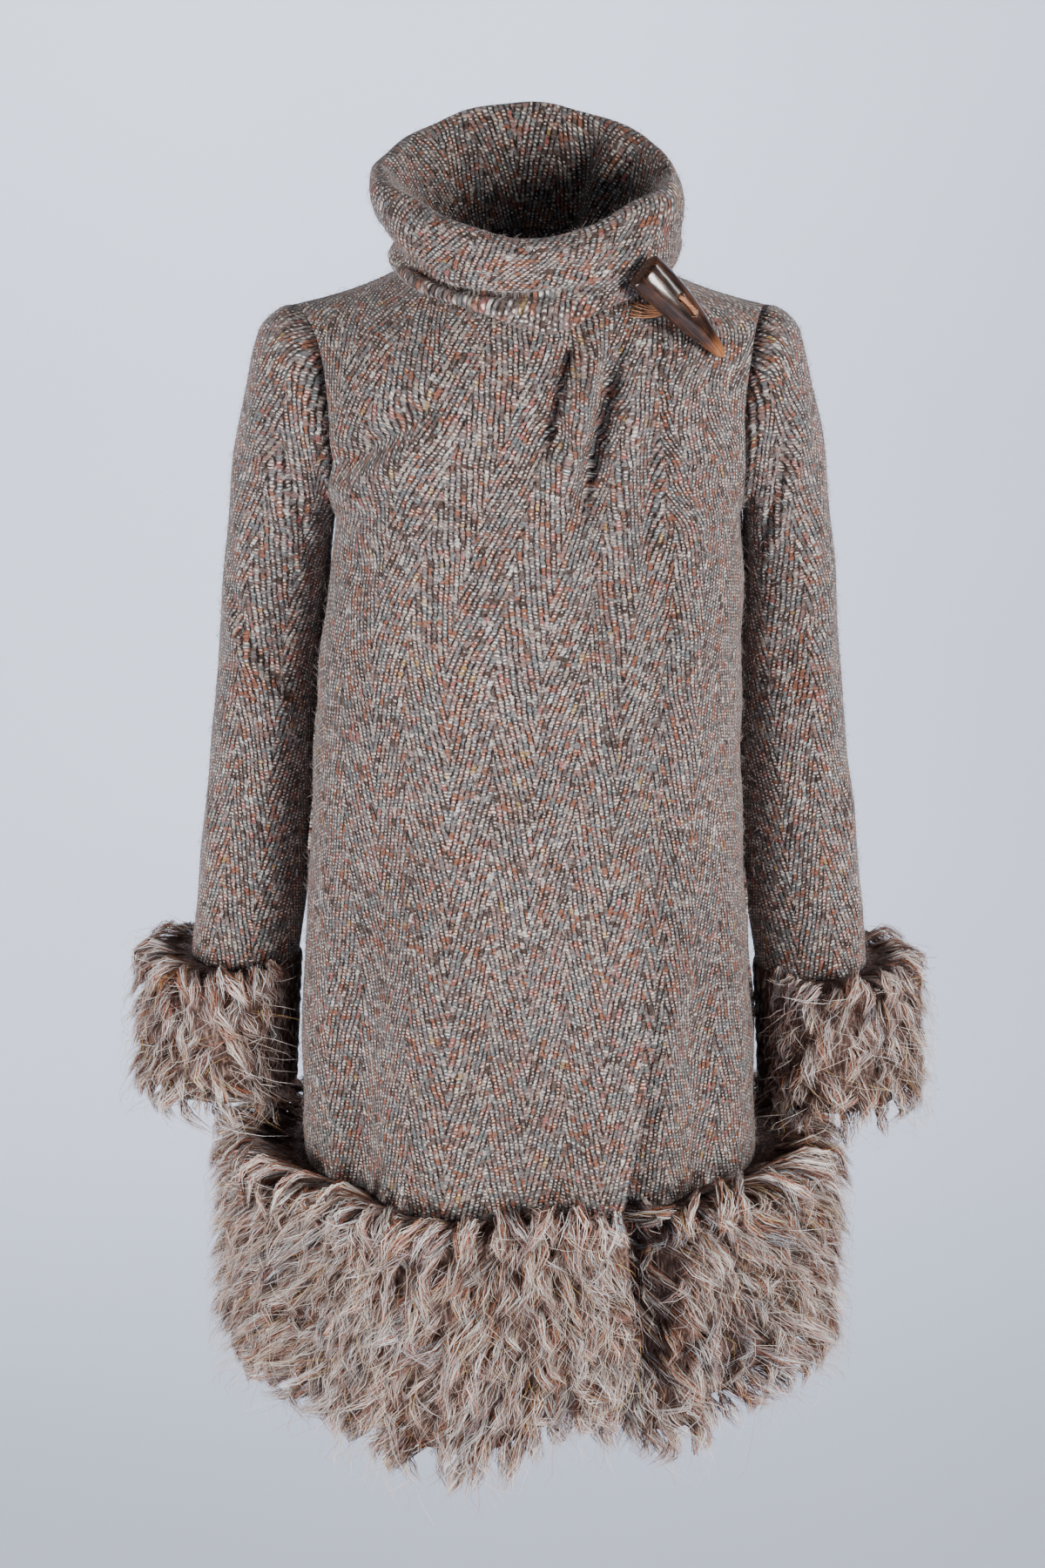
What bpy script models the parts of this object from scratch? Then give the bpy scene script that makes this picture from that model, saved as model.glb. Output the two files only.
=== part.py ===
"""Wool coat: a wrapped tweed front, a rolled collar, a horn toggle and shaggy hem and cuffs.

Metres, +Z up. The origin lies midway between the two shoulder points, at their height. +X is
the wearer's left and the front faces -Y. The coat keeps the hollow shape that it has when it
is worn. Every cloth piece is a wall with a plain inside, lofted through sections that come
from the tables below.
"""
import math
from collections import namedtuple

import bmesh
import bpy
import numpy as np
from mathutils import Vector
from mathutils.bvhtree import BVHTree

# Cloth and seams
WALL = 0.003            # one layer of the heavy tweed
SEAM_GAP = 0.0004       # clearance between two pieces at a seam
STEP = 0.004            # parameter step for measuring a surface's slope
SQUARE = 2.25           # 2 is an ellipse, more is squarer

# The body of the coat, from the hem seam up to the underarm
Level = namedtuple("Level", "height half_width front_depth back_depth shift")
BODY = (
    Level(-0.700, 0.1870, 0.166, 0.152, 0.000),     # hem seam
    Level(-0.600, 0.1860, 0.160, 0.147, -0.001),    # thigh
    Level(-0.500, 0.1800, 0.154, 0.140, -0.002),    # hip
    Level(-0.390, 0.1735, 0.148, 0.131, -0.002),    # waist
    Level(-0.300, 0.1695, 0.144, 0.123, 0.000),     # ribs
    Level(-0.230, 0.1655, 0.141, 0.117, 0.005),     # bust
    Level(-0.165, 0.1610, 0.138, 0.114, 0.008),     # underarm
)
HEM_Z = BODY[0].height
UNDERARM_Z = BODY[-1].height

# The chest section, which ends at the armhole's front and back edges
CHEST = Level(-0.085, 0.1725, 0.134, 0.118, 0.006)
CHEST_REACH = 0.80      # share of the quarter turn that the chest section covers

# The top edge: the neckline and the shoulder seam
NECK_SHARE = 0.5        # share of the half width that is neckline, the rest is shoulder seam
NECK_HALF = 0.070
NECK_FRONT = 0.095
NECK_BACK = 0.068
NECK_FRONT_Z = 0.012
NECK_BACK_Z = 0.056
NECK_SIDE_Z = 0.046
SHOULDER_HALF = 0.185
SHOULDER_Y = 0.006
SHOULDER_SAG = 0.006
TOP = 3.0               # the height parameter: 0 hem, 1 underarm, 2 chest, 3 top edge

# Free edges of the two fronts, as shares of the half width by height parameter
Edge = namedtuple("Edge", "height over under")
FRONT_EDGES = (
    Edge(0.0, 0.26, 0.05),
    Edge(0.2, 0.34, 0.04),
    Edge(0.6, 0.44, 0.02),
    Edge(1.0, 0.44, 0.02),
    Edge(2.0, 0.54, 0.02),
    Edge(3.0, 0.38, 0.02),
)
EDGE_LIFT = 0.015       # how far the over front's free edge stands off at the hem
EDGE_LIFT_TOP = -0.40   # height where that lift starts
EDGE_DIP = 0.006        # how far the under front falls back beside that edge
TUCK = 0.0042           # how far the under front lies below the over front
TUCK_DEEP = 0.015       # and how much deeper it lies away from that edge
TUCK_FADE = 0.12

# Folds, as troughs and ridges between a top and a low point seen from the front or back
Fold = namedtuple("Fold", "x_top z_top x_low z_low width height")
FRONT_FOLDS = (
    Fold(0.038, 0.004, 0.008, -0.090, 0.0085, -0.0105),     # first pleat
    Fold(0.056, -0.006, 0.026, -0.125, 0.0100, 0.0060),     # ridge between the pleats
    Fold(0.068, -0.014, 0.036, -0.155, 0.0090, -0.0120),    # second pleat
    Fold(0.088, -0.040, 0.072, -0.200, 0.0140, 0.0050),     # ridge below the toggle
    Fold(0.056, -0.150, 0.076, -0.330, 0.0130, -0.0045),    # long soft trough
    Fold(0.020, -0.060, -0.060, -0.330, 0.0280, 0.0040),    # bias drape to the right hip
    Fold(-0.066, -0.048, -0.156, -0.122, 0.0070, -0.0050),  # yoke crease
    Fold(-0.064, -0.064, -0.158, -0.140, 0.0130, 0.0045),   # roll below the yoke crease
    Fold(-0.060, -0.400, -0.078, -0.980, 0.0380, 0.0170),   # flute over the right thigh
    Fold(0.006, -0.420, 0.016, -0.980, 0.0260, -0.0100),    # trough beside it
    Fold(-0.140, -0.400, -0.150, -0.980, 0.0240, -0.0160),  # right side trough
    Fold(0.092, -0.420, 0.102, -0.980, 0.0280, 0.0080),     # flute over the left thigh
    Fold(0.142, -0.420, 0.152, -0.980, 0.0220, -0.0140),    # left side trough
)
BACK_FOLDS = (
    Fold(-0.075, -0.300, -0.092, -0.980, 0.0340, 0.0140),
    Fold(-0.020, -0.360, -0.024, -0.980, 0.0260, -0.0080),
    Fold(0.040, -0.280, 0.052, -0.980, 0.0360, 0.0130),
    Fold(0.112, -0.400, 0.124, -0.980, 0.0260, -0.0060),
)
FOLD_EASE = 0.30        # share of a fold's length over which it fades in and out

# Sleeve sections, from the armhole down to the cuff seam. The inner line keeps clear of the
# body's side by the clear column.
Section = namedtuple("Section", "over_x over_z under_z clear front_y back_y")
SLEEVE = (
    Section(0.1960, -0.0025, -0.1610, 0.0036, -0.056, 0.060),
    Section(0.2065, -0.0120, -0.1655, 0.0066, -0.054, 0.068),
    Section(0.2165, -0.0340, -0.1830, 0.0040, -0.048, 0.080),
    Section(0.2255, -0.0700, -0.2050, 0.0015, -0.040, 0.089),
    Section(0.2340, -0.1120, -0.2310, -0.0005, -0.031, 0.096),
    Section(0.2430, -0.1800, -0.2700, -0.0012, -0.025, 0.100),
    Section(0.2500, -0.2500, -0.3150, -0.0015, -0.022, 0.102),
    Section(0.2560, -0.3200, -0.3620, -0.0015, -0.020, 0.100),
    Section(0.2625, -0.3900, -0.4150, -0.0012, -0.018, 0.096),
    Section(0.2700, -0.4600, -0.4700, 0.0000, -0.018, 0.092),
    Section(0.2795, -0.5400, -0.5400, 0.0060, -0.020, 0.087),
)
Arm = namedtuple("Arm", "name side drop")
ARMS = (Arm("right", -1.0, 0.003), Arm("left", 1.0, 0.012))

# Collar rings, from its outer edge over the rim and down to the neck seam
Ring = namedtuple("Ring", "front back left right z_front z_back z_left z_right")
COLLAR = (
    Ring(0.1130, 0.088, 0.103, 0.107, 0.007, 0.052, 0.036, 0.034),  # outer edge
    Ring(0.1240, 0.096, 0.110, 0.113, 0.017, 0.062, 0.045, 0.042),  # low roll
    Ring(0.1150, 0.090, 0.104, 0.109, 0.027, 0.074, 0.053, 0.049),  # crease
    Ring(0.1280, 0.101, 0.118, 0.117, 0.037, 0.092, 0.066, 0.060),  # roll, low side
    Ring(0.1305, 0.107, 0.124, 0.119, 0.052, 0.116, 0.086, 0.078),  # roll, widest
    Ring(0.1270, 0.108, 0.124, 0.118, 0.065, 0.136, 0.102, 0.096),  # rim, outside
    Ring(0.1185, 0.101, 0.116, 0.111, 0.071, 0.146, 0.108, 0.104),  # rim, top
    Ring(0.1100, 0.093, 0.106, 0.103, 0.066, 0.140, 0.103, 0.096),  # rim, inside
    Ring(0.1010, 0.084, 0.093, 0.093, 0.051, 0.117, 0.087, 0.079),  # throat, high
    Ring(0.0960, 0.076, 0.080, 0.082, 0.034, 0.090, 0.068, 0.063),  # throat, low
    Ring(0.0917, 0.0655, 0.0675, 0.0675, 0.0140, 0.0580, 0.0480, 0.0480),  # neck seam
)
COLLAR_END_LOW = math.radians(47.0)     # where the band's end lies at its outer edge
COLLAR_END_RIM = math.radians(72.0)     # and at its rim
COLLAR_STEP = 0.0050                    # how far the over end stands proud
COLLAR_SLIT = math.radians(0.7)
COLLAR_REST = 0.0016                    # clearance of the outer edge above the shoulders
COLLAR_BEND_BACK = 1.35     # how long the rim stays high at the back
COLLAR_BEND_FRONT = 2.0     # and low at the front, on the right
COLLAR_BEND_LAP = 2.7       # and on the left, where the band laps over
CREASE_RING = 2

# Shaggy trims: rows down the outside and up the inside, as a drop below the seam and a share
# of the trim's reach
Row = namedtuple("Row", "drop share")
TRIM_OUTSIDE = (
    Row(0.000, 0.08), Row(-0.050, 0.28), Row(-0.020, 0.62), Row(0.080, 0.84),
    Row(0.210, 0.88), Row(0.350, 0.97), Row(0.490, 0.96), Row(0.640, 1.03),
    Row(0.770, 0.99), Row(0.890, 0.96), Row(0.965, 0.78), Row(1.000, 0.48),
)
TRIM_INSIDE = (Row(0.960, 0.13), Row(0.620, 0.09), Row(0.300, 0.04), Row(0.000, 0.00))
TUFT_HEIGHT = 0.0050
Drop = namedtuple("Drop", "across over under back")
HEM_DROPS = (
    Drop(-1.00, 0.180, 0.205, 0.180),
    Drop(-0.75, 0.187, 0.205, 0.186),
    Drop(-0.45, 0.202, 0.205, 0.200),
    Drop(-0.15, 0.221, 0.205, 0.204),
    Drop(0.10, 0.175, 0.205, 0.196),
    Drop(0.26, 0.120, 0.214, 0.202),
    Drop(0.45, 0.110, 0.213, 0.206),
    Drop(0.65, 0.110, 0.187, 0.194),
    Drop(1.00, 0.110, 0.180, 0.180),
)
HEM_REACH_FRONT = 0.057
HEM_REACH_SIDE = 0.077
HEM_REACH_UNDER = 0.024     # the under trim is pressed behind the over trim
HEM_REACH_EDGE = 0.040      # and the over trim is thinner towards its free edge,
HEM_LIFT_EDGE = 0.029       # and stands off there
CUFF_DROP = 0.128
CUFF_REACH_OUT = 0.050
CUFF_REACH_BODY = 0.0032
CUFF_DRIFT = 0.007          # the cuff hangs away from the body's flare

# Toggle, its lashing and the loop strands
TOGGLE_HEAD = Vector((0.0880, -0.1120, 0.0430))
TOGGLE_TIP = Vector((0.1470, -0.0790, -0.0240))
TOGGLE_FACE = Vector((0.35, -0.90, 0.25))
Cut = namedtuple("Cut", "along width thick bow")
TOGGLE = (
    Cut(0.00, 0.0115, 0.0080, 0.0000), Cut(0.03, 0.0125, 0.0088, 0.0004),
    Cut(0.14, 0.0134, 0.0094, 0.0016), Cut(0.30, 0.0136, 0.0092, 0.0030),
    Cut(0.45, 0.0122, 0.0084, 0.0038), Cut(0.60, 0.0100, 0.0072, 0.0038),
    Cut(0.75, 0.0074, 0.0058, 0.0028), Cut(0.88, 0.0050, 0.0042, 0.0014),
    Cut(0.96, 0.0032, 0.0028, 0.0004), Cut(1.00, 0.0012, 0.0011, 0.0000),
)
TOGGLE_SIDES = 14
HOLE_ALONG = (0.34, 0.51)
HOLE_RADIUS = 0.0022
HOLE_ASIDE = 0.0025
LASHING_RADIUS = 0.0014
STRAND_RADIUS = 0.0007
STRANDS = 4
STRAND_SEWN_X = 0.085
STRAND_SEWN_Z = 0.012
STRAND_FAN = 0.0028     # spacing where they are sewn on
STRAND_PITCH = -0.0017  # and under the toggle
STRAND_ALONG = 0.42
STRAND_ASIDE = 0.0050

# Grid sizes
BODY_ROWS = np.concatenate([
    np.linspace(0.0, 0.62, 7), np.linspace(0.74, 1.0, 4), np.linspace(1.2, 2.0, 5),
    np.linspace(2.18, 3.0, 7)])
OVER_COLUMNS = 15
LAP_COLUMNS = 9
SIDE_COLUMNS = 7
BACK_COLUMNS = 20
ARMHOLE_STEPS = 9
COLLAR_COLUMNS = 32
COLLAR_ROWS = 13
CUFF_COLUMNS = 26
HEM_PITCH = 0.020

COLOURS = {
    "tweed": (0.30, 0.24, 0.22, 0.9), "shag": (0.42, 0.33, 0.30, 0.95),
    "horn": (0.07, 0.03, 0.02, 0.25), "thread": (0.45, 0.20, 0.09, 0.5),
}


def through(rows, field, at):
    """Smooth cubic through one column of a table, whose first column is the position."""
    xs = np.array([row[0] for row in rows])
    ys = np.array([getattr(row, field) for row in rows])
    slope = np.gradient(ys, xs)
    i = np.clip(np.searchsorted(xs, at) - 1, 0, len(xs) - 2)
    gap = xs[i + 1] - xs[i]
    t = np.clip((at - xs[i]) / gap, 0.0, 1.0)
    start = (2 * t**3 - 3 * t**2 + 1) * ys[i] + (t**3 - 2 * t**2 + t) * gap * slope[i]
    end = (3 * t**2 - 2 * t**3) * ys[i + 1] + (t**3 - t**2) * gap * slope[i + 1]
    return start + end


def ease(t):
    """Smooth step from 0 to 1."""
    t = np.clip(t, 0.0, 1.0)
    return t * t * (3 - 2 * t)


def unit(vectors):
    return vectors / np.maximum(np.linalg.norm(vectors, axis=-1, keepdims=True), 1e-12)


def oval(turn, half_width, depth):
    """Point of a squared ellipse at an angle from its depth axis."""
    across = np.abs(np.sin(turn)) / half_width
    along = np.abs(np.cos(turn)) / depth
    radius = (across**SQUARE + along**SQUARE) ** (-1 / SQUARE)
    return radius * np.sin(turn), radius * np.cos(turn)


def top_edge(u, facing):
    """Neckline as a quarter ellipse, then the shoulder seam as a slightly hollow line."""
    share = np.abs(u)
    side = np.sign(u)
    turn = np.clip(share / NECK_SHARE, 0, 1) * math.pi / 2
    out = np.clip((share - NECK_SHARE) / (1 - NECK_SHARE), 0, 1)
    depth, centre_z = (NECK_FRONT, NECK_FRONT_Z) if facing < 0 else (NECK_BACK, NECK_BACK_Z)
    x = NECK_HALF * np.sin(turn) + (SHOULDER_HALF - NECK_HALF) * out
    y = facing * depth * np.cos(turn) + SHOULDER_Y * out
    z = centre_z + (NECK_SIDE_Z - centre_z) * np.sin(turn) ** 2
    z = z - NECK_SIDE_Z * out - SHOULDER_SAG * np.sin(math.pi * out)
    return np.stack([side * x, y, z], -1)


def body(u, v, facing):
    """The coat's smooth body: u runs -1 to 1 across a front or back, v runs 0 to 3 upwards."""
    u, v = np.broadcast_arrays(np.asarray(u, float), np.asarray(v, float))
    z = HEM_Z + (UNDERARM_Z - HEM_Z) * np.clip(v, 0, 1)
    depth = "front_depth" if facing < 0 else "back_depth"
    x, y = oval(u * math.pi / 2, through(BODY, "half_width", z), through(BODY, depth, z))
    low = np.stack([x + through(BODY, "shift", z), facing * y, z], -1)
    x, y = oval(u * math.pi / 2 * CHEST_REACH, CHEST.half_width, getattr(CHEST, depth))
    chest = np.stack([x + CHEST.shift, facing * y, np.full_like(x, CHEST.height)], -1)
    first = np.clip(v - 1, 0, 1)
    second = np.clip(v - 2, 0, 1) * math.pi / 2
    edge = np.abs(u) ** 3
    aside = first + (np.sin(first * math.pi / 2) - first) * edge
    up = first + (1 - np.cos(first * math.pi / 2) - first) * edge
    point = low + (chest - low) * np.stack([aside, aside, up], -1)
    rise = np.stack([1 - np.cos(second), 1 - np.cos(second), np.sin(second)], -1)
    point = point + (top_edge(u, facing) - chest) * rise
    point[..., 1] += facing * SEAM_GAP / 2
    return point


def fold_height(x, z, folds):
    """Sum of the folds: a bell across each fold's line, fading in and out along it."""
    total = np.zeros_like(x)
    for fold in folds:
        run = np.array([fold.x_low - fold.x_top, fold.z_low - fold.z_top])
        length = np.hypot(*run)
        along = ((x - fold.x_top) * run[0] + (z - fold.z_top) * run[1]) / length**2
        apart = ((x - fold.x_top) * run[1] - (z - fold.z_top) * run[0]) / length
        fade = ease(along / FOLD_EASE) * ease((1 - along) / FOLD_EASE)
        total += fold.height * np.exp(-(apart / fold.width) ** 2) * fade
    return total


def slopes(surface, u, v):
    """Differences of a surface along u and v, one-sided at the ends of u and v."""
    u, v = np.broadcast_arrays(np.asarray(u, float), np.asarray(v, float))
    ahead, behind = np.minimum(u + STEP, u.max()), np.maximum(u - STEP, u.min())
    above, below = np.minimum(v + STEP, v.max()), np.maximum(v - STEP, v.min())
    return surface(ahead, v) - surface(behind, v), surface(u, above) - surface(u, below)


def normals(surface, u, v, sign=1.0):
    """Outward unit normals of a surface at grid points."""
    along_u, along_v = slopes(surface, u, v)
    return sign * unit(np.cross(along_u, along_v))


def raised(surface, u, v, sign, height):
    """A surface's points moved out along its normals."""
    return surface(u, v) + normals(surface, u, v, sign) * height[..., None]


def front_base(u, v):
    return body(u, v, -1.0)


def back_base(u, v):
    return body(u, v, 1.0)


def over_edge(v):
    return through(FRONT_EDGES, "over", np.asarray(v, float))


def under_edge(v):
    return through(FRONT_EDGES, "under", np.asarray(v, float))


def over_front(u, v):
    """The wearer's right front: folds, and a free edge that lifts towards the hem."""
    base = front_base(u, v)
    low = ease((EDGE_LIFT_TOP - base[..., 2]) / (EDGE_LIFT_TOP - HEM_Z))
    lift = EDGE_LIFT * low * ease(1 + (u - over_edge(v)) / 0.30)
    height = fold_height(base[..., 0], base[..., 2], FRONT_FOLDS) + lift
    return raised(front_base, u, v, 1.0, height)


def under_front(u, v):
    """The wearer's left front: it dips below the over front and rises beside its edge."""
    base = front_base(u, v)
    beside = ease((u - over_edge(v)) / TUCK_FADE)
    behind = ease((over_edge(v) - u) / TUCK_FADE) * ease((TOP - v) / 0.8)
    low = ease((EDGE_LIFT_TOP - base[..., 2]) / (EDGE_LIFT_TOP - HEM_Z))
    shade = EDGE_DIP * low * (1 - ease((u - over_edge(v)) / 0.35))
    folds = fold_height(base[..., 0], base[..., 2], FRONT_FOLDS)
    height = folds * beside + np.minimum(folds, 0.0) * (1 - beside)
    height = height - TUCK * (1 - beside) - TUCK_DEEP * behind - shade
    return raised(front_base, u, v, 1.0, height)


def back_panel(u, v):
    base = back_base(u, v)
    return raised(back_base, u, v, -1.0, fold_height(base[..., 0], base[..., 2], BACK_FOLDS))


def square_to_seams(normal, u, v):
    """At a side or shoulder seam the wall's end stands square to the seam."""
    side = (np.abs(u) > 0.999) & (v <= 1.0)
    shoulder = (v >= TOP) & (np.abs(u) >= NECK_SHARE)
    normal[..., 0] = np.where(side, np.sign(u), normal[..., 0])
    normal[..., 1] = np.where(side | shoulder, 0.0, normal[..., 1])
    normal[..., 2] = np.where(side, 0.0, normal[..., 2])
    return unit(normal)


def wall(surface, u, v, sign):
    """Outer and inner points of a cloth wall over a grid of u and v, cut level at the hem."""
    outer = surface(u, v)
    normal = square_to_seams(normals(surface, u, v, sign), u, v)
    inner = outer - normal * WALL
    for layer in (outer, inner):
        layer[..., 2] = np.where(v <= 0, HEM_Z, layer[..., 2])
    return outer, inner


def new_object(name, vertices, faces, material):
    mesh = bpy.data.meshes.new(name)
    mesh.from_pydata([tuple(p) for p in vertices], [], faces)
    built = bpy.data.objects.new(name, mesh)
    COAT.objects.link(built)
    work = bmesh.new()
    work.from_mesh(mesh)
    bmesh.ops.recalc_face_normals(work, faces=work.faces)
    bmesh.ops.triangulate(work, faces=work.faces)
    work.to_mesh(mesh)
    work.free()
    mesh.materials.append(material)
    mesh.shade_smooth()
    mesh.set_sharp_from_angle(angle=math.radians(50))
    return built


def loft(name, sections, material, closed=False, cap="ladder"):
    """A solid through closed sections, an array of sections by points by 3.

    A ladder cap joins the first half of a section's points to the second half, which suits
    the edge of a thin wall. A flat cap is one face.
    """
    count, size = sections.shape[:2]
    faces = []
    for i in range(count if closed else count - 1):
        j = (i + 1) % count
        for k in range(size):
            m = (k + 1) % size
            faces.append((i * size + k, i * size + m, j * size + m, j * size + k))
    if not closed:
        for start in (0, (count - 1) * size):
            if cap == "flat":
                faces.append(tuple(range(start, start + size)))
            else:
                for k in range(size // 2 - 1):
                    near, far = start + k, start + size - 1 - k
                    faces.append((near, near + 1, far - 1, far))
    return new_object(name, sections.reshape(-1, 3), faces, material)


def panel(name, surface, u, v, sign, material):
    """A cloth panel: each column is a section, up its outside and down its inside."""
    outer, inner = wall(surface, u, v, sign)
    sections = np.concatenate([outer, inner[::-1]], 0).transpose(1, 0, 2)
    return loft(name, sections, material)


def spread(edges, counts):
    """Columns between edges that change with the row: an array of rows by columns."""
    parts = []
    for low, high, count in zip(edges[:-1], edges[1:], counts):
        share = np.linspace(0, 1, count + 1)[(1 if parts else 0):]
        parts.append(low[:, None] + (high - low)[:, None] * share)
    return np.concatenate(parts, 1)


def make_body(material):
    """The back and both fronts, which share their columns where they overlap.

    So the fronts' walls stay parallel there.
    """
    rows = BODY_ROWS
    side = np.ones_like(rows)
    over_u = spread([-side, under_edge(rows), over_edge(rows)], [OVER_COLUMNS, LAP_COLUMNS])
    under_u = spread([under_edge(rows), over_edge(rows), side], [LAP_COLUMNS, SIDE_COLUMNS])
    back_u = spread([-side, side], [BACK_COLUMNS])
    v = rows[:, None]
    right_v, left_v, back_v = (np.broadcast_to(v, u.shape) for u in (over_u, under_u, back_u))
    panel("back", back_panel, back_u, back_v, -1.0, material)
    return (panel("front_right", over_front, over_u, right_v, 1.0, material),
            panel("front_left", under_front, under_u, left_v, 1.0, material))


def armhole(side):
    """Outer and inner points round an armhole: shoulder, front, underarm, back."""
    v = BODY_ROWS[BODY_ROWS >= 1.0]
    u = np.full((len(v), 2), side)
    u[:, 0] = side * 0.98
    grid = np.broadcast_to(v[:, None], u.shape)
    front = over_front if side < 0 else under_front
    edges = []
    for surface, sign in ((front, 1.0), (back_panel, -1.0)):
        outer, inner = wall(surface, u, grid, sign)
        edges.append((outer[:, 1], inner[:, 1]))
    rings = []
    for layer in (0, 1):
        fore, aft = edges[0][layer], edges[1][layer]
        top, bottom = (fore[-1] + aft[-1]) / 2, (fore[0] + aft[0]) / 2
        rings.append(np.concatenate([top[None], fore[-2:0:-1], bottom[None], aft[1:-1]]))
    return rings


def sleeve_angles(ring):
    """Angle of each armhole point round the sleeve, 0 at the shoulder, 90 at the front."""
    middle = (ring.max(0) + ring.min(0)) / 2
    half = (ring.max(0) - ring.min(0)) / 2
    return np.arctan2((middle[1] - ring[:, 1]) / half[1], (ring[:, 2] - middle[2]) / half[2])


def sleeve_ring(section, arm, angles):
    """An oval between the sleeve's outer line and its inner line beside the body."""
    drop = arm.drop * ease((UNDERARM_Z - section.over_z) / (UNDERARM_Z - SLEEVE[-1].over_z))
    under_z = min(section.under_z - drop, UNDERARM_Z)
    side_x = through(BODY, "half_width", under_z) + arm.side * through(BODY, "shift", under_z)
    over = np.array([arm.side * section.over_x, 0.0, section.over_z - drop])
    under = np.array([arm.side * (side_x + section.clear), 0.0, section.under_z - drop])
    middle_y = (section.front_y + section.back_y) / 2
    half_y = (section.back_y - section.front_y) / 2
    ring = (over + under) / 2 + (over - under) / 2 * np.cos(angles)[:, None]
    ring[:, 1] = middle_y - half_y * np.sin(angles)
    return ring


def make_sleeve(arm, material):
    """A set-in sleeve: its first ring follows the armhole, then ovals run down the arm."""
    outer_hole, inner_hole = armhole(arm.side)
    along = unit(np.roll(outer_hole, -1, 0) - np.roll(outer_hole, 1, 0))
    off = arm.side * unit(np.cross(unit(outer_hole - inner_hole), along)) * SEAM_GAP
    angles = sleeve_angles(outer_hole)
    outer = np.stack([outer_hole + off] + [sleeve_ring(s, arm, angles) for s in SLEEVE])
    down = np.gradient(outer, axis=0)
    round_it = np.roll(outer, -1, 1) - np.roll(outer, 1, 1)
    inner = outer - arm.side * unit(np.cross(round_it, down)) * WALL
    inner[0] = inner_hole + off
    sections = np.concatenate([outer, inner[::-1]], 0).transpose(1, 0, 2)
    return loft(f"sleeve_{arm.name}", sections, material, closed=True)


def shoulder_tree():
    """A search tree of the coat's upper body, for resting the collar on it."""
    vertices, faces = [], []
    for surface in (over_front, under_front, back_panel):
        u, v = np.meshgrid(np.linspace(-1, 1, 81), np.linspace(1.6, 3.0, 41))
        start = len(vertices)
        vertices.extend(Vector(p) for p in surface(u, v).reshape(-1, 3))
        for i in range(40):
            for j in range(80):
                a = start + i * 81 + j
                faces.append((a, a + 1, a + 82, a + 81))
    return BVHTree.FromPolygons(vertices, faces)


def collar_surface(rest_z):
    """The collar's skin: s runs from its outer edge to the neck seam, turn round the neck."""
    table = np.array(COLLAR)
    spots = np.arange(len(COLLAR), dtype=float)

    def column(k, s):
        Spot = namedtuple("Spot", "at value")
        return through([Spot(a, b) for a, b in zip(spots, table[:, k])], "value", s)

    def skin(turn, s):
        turn, s = np.broadcast_arrays(np.asarray(turn, float), np.asarray(s, float))
        across, ahead = np.sin(turn), np.cos(turn)
        wide = np.where(across < 0, column(2, s), column(3, s))
        deep = np.where(ahead > 0, column(0, s), column(1, s))
        side_z = np.where(across < 0, column(6, s), column(7, s))
        end_z = np.where(ahead > 0, column(4, s), column(5, s))
        bend = np.where(ahead < 0, COLLAR_BEND_BACK,
                        np.where(across < 0, COLLAR_BEND_FRONT, COLLAR_BEND_LAP))
        share = np.abs(ahead) ** bend
        z = end_z * share + side_z * (1 - share)
        rest = rest_z(turn)
        z = z + (rest - z) * ease(1 - s / 1.5)
        smooth_here = ease((np.sin(turn) + 0.05) / 0.5) * ease((ahead + 0.3) / 0.4)
        crease = np.exp(-((s - CREASE_RING) / 0.8) ** 2) * smooth_here
        end = COLLAR_END_LOW + (COLLAR_END_RIM - COLLAR_END_LOW) * ease(s / 6.0)
        near_end = ease(1 - (end + 2 * math.pi - turn) / 0.7)
        outside = ease((6.5 - s) / 2.0)
        out = 0.011 * crease + COLLAR_STEP * near_end * outside
        pinch = 0.004 * np.exp(-((turn - 2.30) / 0.18) ** 2) * ease((s - 5.5) / 1.5)
        groove = 0.003 * np.exp(-((turn - 2.64) / 0.16) ** 2) * ease((s - 5.5) / 1.5)
        wide = wide + out - pinch + groove
        deep = deep + out - pinch + groove
        return np.stack([wide * across, -deep * ahead, z], -1)

    return skin


def make_collar(material):
    """A folded band: both of its layers and the rim are one wall of the cloth's thickness."""
    tree = shoulder_tree()
    turns = np.linspace(0, 2 * math.pi, 181)
    heights = []
    for turn in turns:
        wide = COLLAR[0].left if math.sin(turn) < 0 else COLLAR[0].right
        deep = COLLAR[0].front if math.cos(turn) > 0 else COLLAR[0].back
        start = Vector((wide * math.sin(turn), -deep * math.cos(turn), 0.3))
        hit = tree.ray_cast(start, Vector((0, 0, -1)))[0]
        heights.append(hit.z + COLLAR_REST)

    def rest_z(turn):
        return np.interp(np.mod(turn, 2 * math.pi), turns, heights)

    skin = collar_surface(rest_z)
    s = np.linspace(0, len(COLLAR) - 1, COLLAR_ROWS)
    end = COLLAR_END_LOW + (COLLAR_END_RIM - COLLAR_END_LOW) * ease(s / 6.0)
    share = np.linspace(0, 1, COLLAR_COLUMNS + 1)[:, None]
    turn = end + COLLAR_SLIT + share * (2 * math.pi - 2 * COLLAR_SLIT)
    s = np.broadcast_to(s, turn.shape)
    outer = skin(turn, s)
    normal = unit(np.cross(skin(turn + STEP, s) - skin(turn - STEP, s),
                           skin(turn, s + STEP) - skin(turn, s - STEP)))
    inner = outer - normal * WALL
    return loft("collar", np.concatenate([outer, inner[:, ::-1]], 1), material)


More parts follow.
